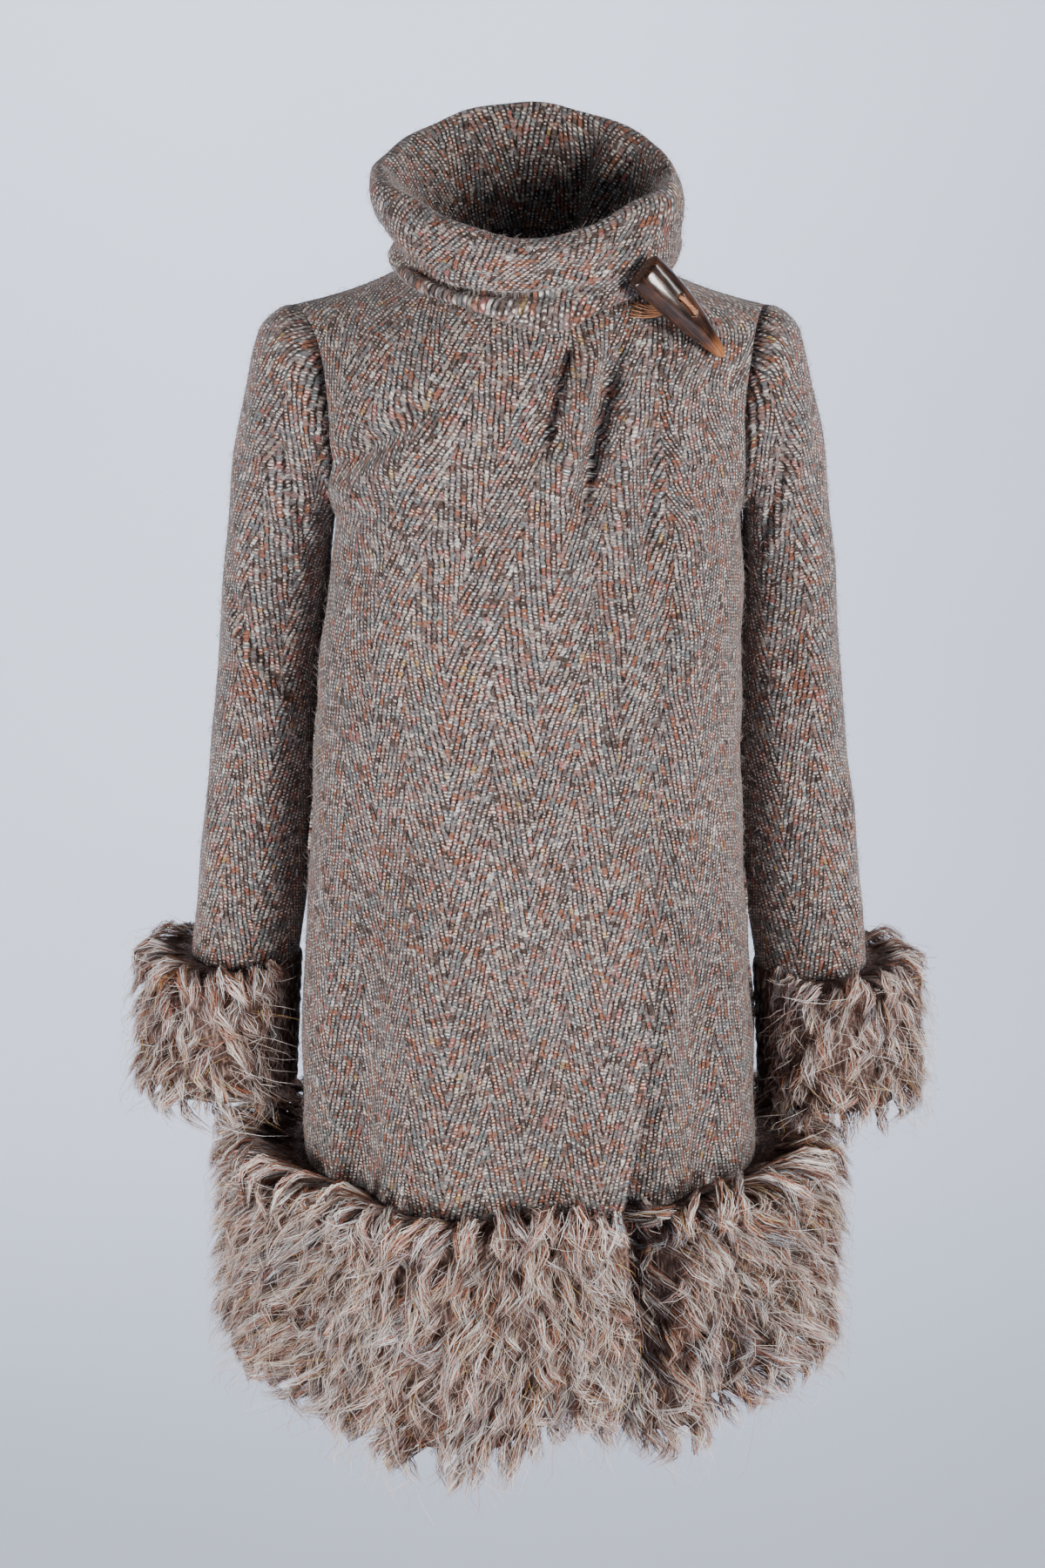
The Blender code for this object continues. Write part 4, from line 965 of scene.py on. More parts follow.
# %% Collar surface
def collar_value(field, s):
    """One measure of the collar's rings, smoothly between whole values of s."""
    values = np.array([getattr(ring, field) for ring in COLLAR])
    return smooth_rows(values, np.arange(float(len(COLLAR))), s)


def from_front_of(turn):
    """A turn round the neck as minus to plus half a turn from the front."""
    return np.mod(np.asarray(turn) + math.pi, 2 * math.pi) - math.pi


def lap_spread(turn):
    return LAP_SPREAD * bell(from_front_of(turn), LAP_MIDDLE, LAP_REACH)


def resting_heights(turns):
    """Height of the shoulders under the collar's outer edge, by rays cast down on them."""
    vertices, faces = [], []
    for surface in (over_front, under_front, back_panel):
        u, v = np.meshgrid(np.linspace(-1, 1, 81), np.linspace(1.6, 3.0, 41))
        quads = grid_faces(41, 81)[0] + len(vertices)
        vertices.extend(Vector(p) for p in surface(u, v).reshape(-1, 3))
        faces.extend(quads.tolist())
    tree = BVHTree.FromPolygons(vertices, faces)
    heights = []
    for turn in turns:
        spread = float(lap_spread(turn))
        wide = (COLLAR[0].left if math.sin(turn) < 0 else COLLAR[0].right) + spread
        deep = (COLLAR[0].front if math.cos(turn) > 0 else COLLAR[0].back) + spread
        start = Vector((wide * math.sin(turn), -deep * math.cos(turn), 0.3))
        heights.append(tree.ray_cast(start, Vector((0, 0, -1)))[0].z + COLLAR_REST)
    # the edge bridges narrow pleats: the highest of nine neighbours, then their mean
    around = [np.roll(heights[:-1], k) for k in range(-4, 5)]
    around = [np.roll(np.max(around, axis=0), k) for k in range(-4, 5)]
    heights = np.mean(around, axis=0)
    return np.append(heights, heights[0])


REST_TURNS = np.linspace(0, 2 * math.pi, 181)
REST_HEIGHTS = resting_heights(REST_TURNS)


def collar_end(s):
    """Where the band's two ends meet: further round towards its rim."""
    return COLLAR_END_LOW + (COLLAR_END_RIM - COLLAR_END_LOW) * ease(s / 6.0)


Dent = namedtuple("Dent", "height ring slope width middle reach")
DENTS = (               # slope is in rings by radian, middle and reach are turns from the front
    Dent(-0.0075, 1.7225, 0.45, 0.27, -0.55, 0.62),     # climbs from the front to the right
    Dent(0.0050, 2.4725, 0.45, 0.45, -0.55, 0.62),      # roll above it
    Dent(0.0040, 1.0225, 0.45, 0.38, -0.55, 0.62),      # roll below it
    Dent(-0.0038, 3.4, -1.40, 0.34, 0.35, 0.30),        # drag line to the toggle
    Dent(0.0026, 4.2, -1.40, 0.40, 0.35, 0.30),         # its ridge
    Dent(-0.0030, 2.6, 0.0, 0.40, -1.70, 0.45),         # right side
    Dent(-0.0026, 3.1, 0.0, 0.45, -2.50, 0.50),         # behind, to the right
    Dent(-0.0026, 3.1, 0.0, 0.45, 2.50, 0.50),          # behind, to the left
)


def collar_creases(turn, s):
    """Fine creases on top of the rings: each dent is a bell across its line and along it."""
    ahead = from_front_of(turn)
    total = 0.0011 * np.sin(5 * turn + 1.7 * s) + 0.0007 * np.sin(11 * turn - 2.3 * s + 1.0)
    total = total * ease(s / 1.5) * ease((10 - s) / 1.5)
    for dent in DENTS:
        line = dent.ring + dent.slope * (ahead - dent.middle)
        total += (dent.height * bell(s, line, dent.width)
                  * bell(ahead, dent.middle, dent.reach))
    return total


def collar_skin(turn, s):
    """The collar: s runs from its outer edge to the neck seam, turn round the neck."""
    turn, s = np.broadcast_arrays(np.asarray(turn, float), np.asarray(s, float))
    across, ahead = np.sin(turn), np.cos(turn)
    wide = np.where(across < 0, collar_value("left", s), collar_value("right", s))
    deep = np.where(ahead > 0, collar_value("front", s), collar_value("back", s))
    side_z = np.where(across < 0, collar_value("z_left", s), collar_value("z_right", s))
    end_z = np.where(ahead > 0, collar_value("z_front", s), collar_value("z_back", s))
    bend = np.where(ahead < 0, COLLAR_BEND_BACK,
                    np.where(across < 0, COLLAR_BEND_FRONT, COLLAR_BEND_LAP))
    share = np.abs(ahead) ** bend
    z = end_z * share + side_z * (1 - share)
    rest = np.interp(np.mod(turn, 2 * math.pi), REST_TURNS, REST_HEIGHTS)
    z = z + (rest - z) * ease(1 - s / 1.5)
    smooth_here = ease((across + 0.05) / 0.5) * ease((ahead + 0.3) / 0.4)
    crease = bell(s, CREASE_RING, 0.8) * smooth_here
    near_end = ease(1 - (collar_end(s) + 2 * math.pi - turn) / 0.7)
    out = CREASE_OUT * crease + COLLAR_STEP * near_end * ease((6.5 - s) / 2.0)
    out += lap_spread(turn) * ease(1 - s / 1.8)
    dent, swell = RIM_FOLD_TURN
    out -= RIM_FOLD * bell(turn, dent, 0.16) * ease((s - 5.5) / 1.5)
    out += RIM_FOLD * bell(turn, swell, 0.11) * ease((s - 6.2) / 2.0)
    return np.stack([(wide + out) * across, -(deep + out) * ahead, z], -1)


# %% Collar piece
share_round = np.linspace(0, 1, COLLAR_COLUMNS)[None, :]
collar_s = np.linspace(0, len(COLLAR) - 1, COLLAR_ROWS)[:, None]
collar_turn = collar_end(collar_s) + COLLAR_SLIT + share_round * (2 * math.pi - 2 * COLLAR_SLIT)
collar_points = collar_skin(collar_turn, collar_s)
collar_out = normals_of(collar_points)
collar_points = collar_points + collar_out * collar_creases(collar_turn, collar_s)[..., None]
collar_grain = eased_map(collar_points, np.gradient(collar_points, axis=0))
collar = cloth_wall("collar_cloth", collar_points, TWEED, collar_grain)
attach(collar, "root")
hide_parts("collar")

# %% [markdown]
# ## Loose fibres on the cloth
#
# Brushed wool has a thin haze of single fibres that softens every outline. They could be real
# hair particles, but plain ribbons keep the count in hand: each fibre starts at a random place
# on a piece of cloth, chosen by area, lies over to a random side and lifts a few millimetres.

# %% Fibres
FIBRES_PER_AREA = 36_000        # on a square metre
FIBRE_LONG, FIBRE_WIDE = (0.0035, 0.0095), (0.00014, 0.00026)
FIBRE_RISE, FIBRE_BEND = (0.10, 0.75), 0.3      # in shares of the length


def fuzz_material():
    """Pale fibres, some greyer and some pinker."""
    made, tree, shader = new_material("wool_fuzz")
    place = put(tree, "ShaderNodeTexCoord").outputs["Object"]
    colour = colour_steps(tree, noise(tree, place, 240.0)[0], (
        (0.32, (0.180, 0.140, 0.132)), (0.50, (0.330, 0.275, 0.262)),
        (0.68, (0.520, 0.460, 0.445))), smooth=True)
    fill(tree, shader, {"Base Color": colour, "Roughness": 0.9, "Specular IOR Level": 0.15})
    return made


WOOL_FUZZ = fuzz_material()


def cloth_fibres(name, points, outward):
    """Curved fibres of three points each, scattered over a grid of cloth."""
    normal = outward * normals_of(points)
    across = np.linalg.norm(np.diff(points, axis=1), axis=-1)[:-1]
    area = (across * np.linalg.norm(np.diff(points, axis=0), axis=-1)[:, :-1]).ravel()
    count = int(area.sum() * FIBRES_PER_AREA)
    i, j = np.divmod(RANDOM.choice(area.size, count, p=area / area.sum()), points.shape[1] - 1)
    s, t = RANDOM.uniform(0, 1, (2, count, 1))

    def blend(grid):
        low = grid[i, j] * (1 - s) + grid[i + 1, j] * s
        return low * (1 - t) + (grid[i, j + 1] * (1 - s) + grid[i + 1, j + 1] * s) * t

    root, out = blend(points), unit(blend(normal))
    side, bend = RANDOM.normal(size=(2, count, 3))
    side = unit(side - out * np.sum(side * out, -1, keepdims=True))
    length = RANDOM.uniform(*FIBRE_LONG, (count, 1, 1))
    rise = RANDOM.uniform(*FIBRE_RISE, (count, 1, 1)) ** 1.3
    grow = np.array([0.0, 0.55, 1.0])[None, :, None]
    centre = root[:, None] + length * (
        side[:, None] * grow + unit(bend)[:, None] * FIBRE_BEND * grow**2
        + out[:, None] * rise * grow * (1.7 - 0.8 * grow))
    flat = unit(np.cross(np.gradient(centre, axis=1), RANDOM.normal(size=(count, 1, 3))))
    width = RANDOM.uniform(*FIBRE_WIDE, (count, 1)) * np.array([1.0, 0.9, 0.1])
    fibres, faces, _ = ribbons(centre, flat, width)
    made = mesh_piece(name, fibres, faces, WOOL_FUZZ)
    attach(made, "root")
    print(name, "fibres:", count)


cloth_fibres("right_front_fuzz", over_points, 1.0)
cloth_fibres("left_front_fuzz", under_points, 1.0)
cloth_fibres("back_fuzz", back_points, -1.0)
cloth_fibres("collar_fuzz", collar_points, 1.0)
for arm in ARMS:
    cloth_fibres(f"sleeve_{arm.name}_fuzz", sleeve_points[arm.name], arm.side)

# %% [markdown]
# ## Shaggy trims: where they hang
#
# The hem and cuffs are edged with a deep shaggy pile, like long wool locks sewn in rows on a
# backing. First each trim gets a frame: its sewn edge by length along it, the way outwards, how
# far it drops and how far its pile reaches. A dark lumpy backing fills the inside, and the locks
# come on top of it.

# %% Trim frames
Drop = namedtuple("Drop", "across over under back")
HEM_DROPS = (
    Drop(-1.00, 0.180, 0.205, 0.180), Drop(-0.75, 0.187, 0.205, 0.186),
    Drop(-0.45, 0.202, 0.205, 0.200), Drop(-0.15, 0.221, 0.205, 0.204),
    Drop(0.10, 0.175, 0.205, 0.196), Drop(0.26, 0.120, 0.214, 0.202),
    Drop(0.45, 0.110, 0.213, 0.206), Drop(0.65, 0.110, 0.187, 0.194),
    Drop(1.00, 0.110, 0.180, 0.180),
)
HEM_REACH_FRONT, HEM_REACH_SIDE = 0.057, 0.077
HEM_REACH_UNDER = 0.024     # the under trim is pressed behind the over trim
HEM_REACH_EDGE = 0.040      # the over trim is thinner towards its free edge
HEM_LIFT_EDGE = 0.029       # and stands off there
CUFF_DROP = 0.128
CUFF_REACH_OUT, CUFF_REACH_BODY = 0.050, 0.0032
CUFF_DRIFT = 0.007
FREE_EDGE, HIDDEN_EDGE = float(over_edge(0.0)), float(under_edge(0.0))
Trim = namedtuple("Trim", "name node at edge outward drop reach lift pressed drift closed")


def hem_frame(name, node, surface, base, sign, start, end, shape_of):
    """A hem trim's frame, sampled along a panel's lower edge."""
    u = np.broadcast_to(np.linspace(start, end, 320), (2, 320))
    v = np.array([[0.0], [0.05]]) + np.zeros_like(u)
    edge = surface(u, v)[0]
    edge[:, 2] = HEM_Z - SEAM_GAP
    along_u, along_v = slopes(base, u, v)
    outward = sign * np.cross(along_u, along_v)[0] * (1, 1, 0)
    at = lengths_along(edge)
    drop, reach, lift, pressed = shape_of(u[0])
    return Trim(name, node, at, edge, unit(outward), drop, reach, lift, pressed,
                np.zeros(3), False)


def full_reach(u):
    return HEM_REACH_FRONT + (HEM_REACH_SIDE - HEM_REACH_FRONT) * np.sin(u * math.pi / 2) ** 2


def over_shape(u):
    """The over trim: it thins and lifts towards its free edge, where it is rounded off."""
    near = ease((u + 0.30) / (FREE_EDGE + 0.30))
    round_end = 1 - 0.45 * ease((u - FREE_EDGE + 0.05) / 0.05)
    reach = (full_reach(u) + (HEM_REACH_EDGE - full_reach(u)) * near) * round_end
    lift = HEM_LIFT_EDGE * ease((u - HIDDEN_EDGE + 0.30) / 0.34)
    return through(HEM_DROPS, "over", u), reach, lift, np.zeros_like(u)


def under_shape(u):
    """The under trim: pressed flat behind the over trim, and full beside it."""
    free = ease((u - FREE_EDGE - 0.02) / 0.14)
    reach = HEM_REACH_UNDER + (full_reach(u) - HEM_REACH_UNDER) * free
    return through(HEM_DROPS, "under", u), reach, np.zeros_like(u), 1 - free


def back_shape(u):
    return through(HEM_DROPS, "back", u), full_reach(u), np.zeros_like(u), np.zeros_like(u)


def cuff_frame(arm):
    """A cuff trim's frame: a closed ring, thick outside and thin beside the body."""
    angles = np.linspace(0, 2 * math.pi, 180, endpoint=False)
    edge = sleeve_ring(SLEEVE[-1], arm, angles)
    edge[:, 2] -= SEAM_GAP
    along = np.roll(edge, -1, 0) - np.roll(edge, 1, 0)
    outward = arm.side * unit(np.cross(along, np.array([0.0, 0.0, -1.0])))
    at = lengths_along(edge)
    reach = CUFF_REACH_BODY + (CUFF_REACH_OUT - CUFF_REACH_BODY) * ease(
        (np.cos(angles) + 0.93) / 1.25)
    none = np.zeros_like(reach)
    drift = np.array([arm.side * CUFF_DRIFT, 0.0, 0.0])
    return Trim(f"cuff_{arm.name}", f"cuff_trim_{arm.name}", at, edge, outward,
                np.full_like(reach, CUFF_DROP), reach, none, none, drift, True)


TRIMS = [
    hem_frame("hem_front_right", "hem_trim_front_right", over_front, front_base, 1.0,
              -1.0, FREE_EDGE, over_shape),
    hem_frame("hem_front_left", "hem_trim_front_left", under_front, front_base, 1.0,
              HIDDEN_EDGE, 1.0, under_shape),
    hem_frame("hem_back", "hem_trim_back", back_panel, back_base, -1.0, -1.0, 1.0, back_shape),
] + [cuff_frame(arm) for arm in ARMS]
for trim in TRIMS:
    print(trim.name, "length:", round(float(trim.at[-1]), 3))


def sample(trim, values, a):
    """One of a trim's measures at lengths a along its edge, round again on a closed one."""
    at, values = trim.at, np.asarray(values)
    if trim.closed:
        whole = at[-1] + np.linalg.norm(trim.edge[0] - trim.edge[-1])
        at, values = np.append(at, whole), np.concatenate([values, values[:1]])
        a = np.mod(a, whole)
    if values.ndim == 1:
        return np.interp(a, at, values)
    return np.stack([np.interp(a, at, values[:, k]) for k in range(3)], -1)


Cleft = namedtuple("Cleft", "name x top width")
CLEFTS = (              # partings of the pile, where one looks in between the locks
    Cleft("hem_front_right", -0.0670, 0.40, 0.0045),
    Cleft("hem_front_right", 0.0250, 0.66, 0.0035),
    Cleft("hem_front_left", 0.1260, 0.30, 0.0042),
    Cleft("hem_back", -0.0500, 0.40, 0.0042),
    Cleft("hem_back", 0.0900, 0.55, 0.0042),
)


def cleft_side(trim, a, q, width=1.0):
    """Share of a parting at a place, and on which side of it the place lies."""
    x = sample(trim, trim.edge, a)[..., 0]
    share, side = np.zeros(np.broadcast(a, q).shape), np.zeros(np.broadcast(a, q).shape)
    for cleft in CLEFTS:
        if cleft.name == trim.name:
            here = bell(x, cleft.x, width * cleft.width) * ease((q - cleft.top) / 0.22)
            share, side = share + here, side + here * np.sign(x - cleft.x)
    return share, side


PARTED, PRESSED = 0.62, 0.9     # how much of its depth the pile loses there


def pile_depth(trim, a, q):
    """How far the pile reaches at a length along the edge and a share q of the drop."""
    pressed = sample(trim, trim.pressed, a)
    parted = 1 - PARTED * np.minimum(cleft_side(trim, a, q)[0], 1.0)
    pressed = 1 - PRESSED * pressed * (1 - ease(q / 0.9))
    return sample(trim, trim.reach, a) * pressed * parted


def pile_point(trim, a, q, out):
    """A point of the pile: along the edge, down by a share of the drop, and out by metres."""
    hang = np.maximum(q, 0.0)
    outward = unit(sample(trim, trim.outward, a))
    far = out + sample(trim, trim.lift, a) * hang
    point = sample(trim, trim.edge, a) + outward * far[..., None] + trim.drift * hang[..., None]
    point[..., 2] -= sample(trim, trim.drop, a) * q
    return point


# %% [markdown]
# ## Backing of the trims
#
# Between the locks one looks into shade. The backing is a closed lumpy body at up to seven tenths
# of the pile's depth, with a plain inside. Its colour is partly the wool's dark roots and partly
# painted shade of the depth between the locks. It ends well above the tips of the locks, so that
# no edge of it shows below them.

# %% Backing
Row = namedtuple("Row", "drop share")
CORE_OUTSIDE = (
    Row(0.000, 0.04), Row(-0.012, 0.20), Row(0.005, 0.42), Row(0.060, 0.58), Row(0.160, 0.66),
    Row(0.280, 0.70), Row(0.400, 0.70), Row(0.520, 0.70), Row(0.640, 0.70), Row(0.740, 0.68),
    Row(0.800, 0.60), Row(0.850, 0.42),
)
CORE_INSIDE = (Row(0.850, 0.13), Row(0.620, 0.09), Row(0.300, 0.04), Row(0.000, 0.00))
CORE_PITCH = 0.011      # along the edge
# root colours, which also stand for painted shade deep in the pile
ROOT_BROWN_AND_SHADE = (0.105, 0.056, 0.044)
ROOT_RUST_AND_SHADE = (0.150, 0.056, 0.038)


def root_and_shade_material():
    """Matted dark roots: brown wool, streaked downwards. Its darkest parts are painted shade of
    the depth between the locks.
    """
    made, tree, shader = new_material("shag_roots_and_shade")
    place = put(tree, "ShaderNodeTexCoord").outputs["Object"]
    streak = noise(tree, scaled(tree, place, (1.0, 1.0, 0.25)), 420.0, 3.0)[0]
    # near black to pale brown: root colour, with painted shade of the pile's depth in its dark end
    colour = colour_steps(tree, streak, (
        (0.30, (0.040, 0.024, 0.020)), (0.52, ROOT_BROWN_AND_SHADE), (0.72, (0.34, 0.235, 0.205))),
        smooth=True)
    fill(tree, shader, {"Base Color": colour, "Normal": bump(tree, streak, 0.9, 0.002),
                        "Roughness": 0.95})
    return made


SHAG_ROOTS_AND_SHADE = root_and_shade_material()


def trim_core(trim):
    """A closed profile of rows down the outside and up the inside, carried along the edge."""
    length = float(trim.at[-1])
    count = int(length / CORE_PITCH)
    a = np.linspace(0, length, count, endpoint=not trim.closed)[:, None]
    rows = CORE_OUTSIDE + CORE_INSIDE
    q = np.array([row.drop for row in rows])[None, :] + np.zeros_like(a)
    share = np.array([row.share for row in rows])[None, :]
    a = a + np.zeros_like(q)
    depth = pile_depth(trim, a, q)
    lumps = 0.003 * np.sin(a * 290 + q * 31) + 0.002 * np.sin(a * 173 - q * 53)
    inside = np.arange(len(rows))[None, :] >= len(CORE_OUTSIDE)
    out = depth * share + np.where(inside, -WALL, lumps * (share > 0.3)
                                   * np.minimum(depth / 0.03, 1.0))
    points = pile_point(trim, a, q, out)
    size = len(rows)
    i, k = np.meshgrid(np.arange(count if trim.closed else count - 1), np.arange(size),
                       indexing="ij")
    i, k = i.ravel(), k.ravel()
    j, m = (i + 1) % count, (k + 1) % size
    quads = np.stack([i * size + k, i * size + m, j * size + m, j * size + k], 1)
    faces = [quads]
    if not trim.closed:
        near = np.arange(size // 2 - 1)
        cap = np.stack([near, near + 1, size - 2 - near, size - 1 - near], 1)
        faces += [cap[:, ::-1], cap + (count - 1) * size]
    made = mesh_piece(f"{trim.name}_backing", points.reshape(-1, 3), faces, SHAG_ROOTS_AND_SHADE)
    work = bmesh.new()
    work.from_mesh(made.data)
    bmesh.ops.recalc_face_normals(work, faces=work.faces)
    work.to_mesh(made.data)
    work.free()
    return made


for trim in TRIMS:
    core = trim_core(trim)
    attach(core, "root")
    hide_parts(trim.node)
    print("backing:", core.name)

# %% [markdown]
# ## Locks of wool
#
# Each lock is a tuft of forty strands of many colours, 15 to 42 mm long. It grows from the
# backing, arches out and bends down over the tier below, so the tiers overlap like feathers. Its
# middle line is a cubic Bezier curve in the trim's frame. Its strands keep their places in an
# oval that swells, twists and closes along that line, and every strand is a slim leaf-shaped
# ribbon. Here and there the pile parts and shows its roots.

# %% Lock sites
LOCK_PITCH, TIER_PITCH = 0.0107, 0.0150
ROOTED = 0.90           # share of the drop down to which locks have their roots
ROOT_STRAY, TIER_STRAY = 0.32, 0.25     # of a root, in pitches along the edge and in tiers
LOCK_WIDE, LOCK_LONG = (0.0095, 0.0175), (0.025, 0.042)
THINNEST = 0.0026       # depth of pile that still carries locks
THINNEST_CREST = 0.012
SLANT_STRAY, SLANT_STRAY_CREST = 0.28, 0.50
CUFF_CALM = 0.50        # the locks of the cuffs hang straighter than those of the hem
Locks = namedtuple("Locks", "a q slant length wide crest")


def lock_sites(trim):
    """Roots of the locks in staggered tiers: place along the edge and share of the drop."""
    whole = float(trim.at[-1])
    tallest = float(trim.drop.max())
    tiers = int(round(tallest / TIER_PITCH))
    found = []
    for tier in range(-2, tiers):
        count = int(whole / LOCK_PITCH)
        a = (np.arange(count) + 0.5 * (tier % 2)
             + RANDOM.uniform(-ROOT_STRAY, ROOT_STRAY, count)) * LOCK_PITCH
        a = np.clip(a, 0.002, whole - (0.0 if trim.closed else 0.002))
        crest = tier < 0
        stray = RANDOM.uniform(-TIER_STRAY, TIER_STRAY, count) * (0.0 if crest else 1.0)
        q = np.maximum((max(tier, 0) + stray) * ROOTED / tiers, 0.0)
        drop = sample(trim, trim.drop, a)
        keep = RANDOM.uniform(0, 1, count) < np.clip(drop / tallest * 1.15, 0.55, 1.0)
        keep &= RANDOM.uniform(0, 1, count) > 1.2 * cleft_side(trim, a, q)[0]
        if crest:
            keep &= pile_depth(trim, a, np.zeros(count)) > THINNEST_CREST
        else:
            keep &= pile_depth(trim, a, q + 0.1) > THINNEST
        found.append(np.stack([a, q, np.full(count, float(crest) * (1 + (tier == -2)))],
                              1)[keep])
    a, q, crest = np.concatenate(found).T
    depth = pile_depth(trim, a, np.maximum(q, 0.15))
    wide = np.minimum(RANDOM.uniform(*LOCK_WIDE, len(a)), 0.0045 + 0.62 * depth)
    length = RANDOM.uniform(*LOCK_LONG, len(a)) * np.clip(0.45 + 22 * depth, 0.5, 1.0)
    length = length * np.where(crest > 0, RANDOM.uniform(0.60, 1.0, len(a)), 1.0)
    calm = CUFF_CALM if trim.closed else 1.0
    slant = lock_slant(trim, a) + calm * RANDOM.normal(
        0, np.where(crest > 0, SLANT_STRAY_CREST, SLANT_STRAY))
    slant = slant + 0.22 * cleft_side(trim, a, q + 0.1, 3.0)[1]
    return Locks(a, q, slant, length, wide, crest)


def lock_slant(trim, a):
    """The pile's lean: outwards to both sides of the middle, in slow waves."""
    outward = sample(trim, trim.outward, a)
    along = sample(trim, trim.edge, a + 0.001) - sample(trim, trim.edge, a - 0.001)
    sideways = np.sign(along[:, 0]) * outward[:, 0]
    return 0.30 * sideways + 0.22 * np.sin(a * 17 + 1.1) + 0.15 * np.sin(a * 43)


# %% Middle lines of the locks
LINE_STEPS = np.linspace(0.0, 1.0, 7)
CREST_RISE = (0.008, 0.034)     # how far the topmost locks stand up over the seam
CURL = 0.0080
LOWEST = (-0.030, 0.075)        # of the tips, in shares of the drop beyond its end
SEAM_ENDS = (0.0015, 0.0010)    # kept clear at both ends of an open trim


def lock_lines(trim, locks):
    """Middle line of each lock: a Bezier curve in length along the edge, share of the drop
    and distance outwards. Returns points (locks by steps by 3), and the way out at each."""
    t = LINE_STEPS[None, :]
    bezier = np.stack([(1 - t) ** 3, 3 * t * (1 - t) ** 2, 3 * t**2 * (1 - t), t**3], -1)
    count = len(locks.a)
    drop = sample(trim, trim.drop, locks.a)
    crest = locks.crest > 0
    fall = locks.length * np.where(crest, 0.62, 0.86) / drop
    calm = CUFF_CALM if trim.closed else 1.0
    rise = RANDOM.uniform(*CREST_RISE, count) * calm
    top = np.where(crest, -rise / drop * np.minimum(locks.crest, 1.5),
                   -RANDOM.uniform(0.0, 0.03, count))
    low = np.minimum(locks.q + fall, 1.0 + RANDOM.uniform(*LOWEST, count))
    fall = low - locks.q
    q = np.stack([locks.q, locks.q + top, locks.q + 0.50 * fall + 0.4 * top, low], 1)
    across = locks.length * np.tan(np.clip(locks.slant, -1.0, 1.0))
    a = locks.a[:, None] + across[:, None] * np.array([0.0, 0.10, 0.62, 1.0])
    a = a + calm * RANDOM.normal(0, CURL, (count, 1)) * np.array([0.0, 0.5, 1.0, -0.7])
    if not trim.closed:
        a = np.clip(a, SEAM_ENDS[0], trim.at[-1] - SEAM_ENDS[1])
    share = np.stack([np.full(count, 0.42), np.where(crest, 0.82, 0.60)
                      + RANDOM.uniform(-0.12, 0.10, count),
                      np.full(count, 1.04) + RANDOM.uniform(-0.14, 0.08, count),
                      1.03 + RANDOM.uniform(-0.25, 0.10, count)], 1)
    share[:, 0] = np.where(crest, 0.12, share[:, 0])
    a, q, share = (np.einsum("lsk,lk->ls", np.broadcast_to(bezier, (count,) + bezier.shape[1:]),
                             part) for part in (a, q, share))
    depth = pile_depth(trim, a, q)
    bottom = 1 - 0.28 * ease((q - 0.84) / 0.18)
    out = np.maximum(depth * share * bottom - 0.003, 0.0008)
    points = pile_point(trim, a, q, out)
    return points, unit(sample(trim, trim.outward, a))


# %% Strands of the locks
STRANDS_PER_LOCK = 40
STRAND_STEPS = 4
STRAND_WIDE = (0.00038, 0.00092)
STRAND_TAPER = np.array([0.70, 1.05, 0.90, 0.15])
STRAND_COLOURS = np.array([
    (0.850, 0.730, 0.655),      # cream
    (0.950, 0.905, 0.870),      # white
    (0.560, 0.440, 0.420),      # pink grey
    (0.380, 0.275, 0.248),      # taupe
    (0.430, 0.150, 0.080),      # rust
    (0.160, 0.080, 0.060),      # brown
    (0.600, 0.330, 0.300),      # pink
    (0.700, 0.450, 0.160),      # gold
])
OUTER_SHARES = np.array([0.28, 0.24, 0.12, 0.07, 0.13, 0.05, 0.09, 0.02])
INNER_SHARES = np.array([0.06, 0.02, 0.10, 0.18, 0.33, 0.21, 0.08, 0.02])


def along_line(lines, t):
    """Values of each lock's line (locks by steps by 3) at t (locks by strands by points)."""
    last = lines.shape[1] - 1
    place = np.clip(t, 0, 1) * last
    i = np.minimum(place.astype(int), last - 1)
    part = (place - i)[..., None]
    lock = np.arange(len(lines))[:, None, None]
    return lines[lock, i] * (1 - part) + lines[lock, i + 1] * part


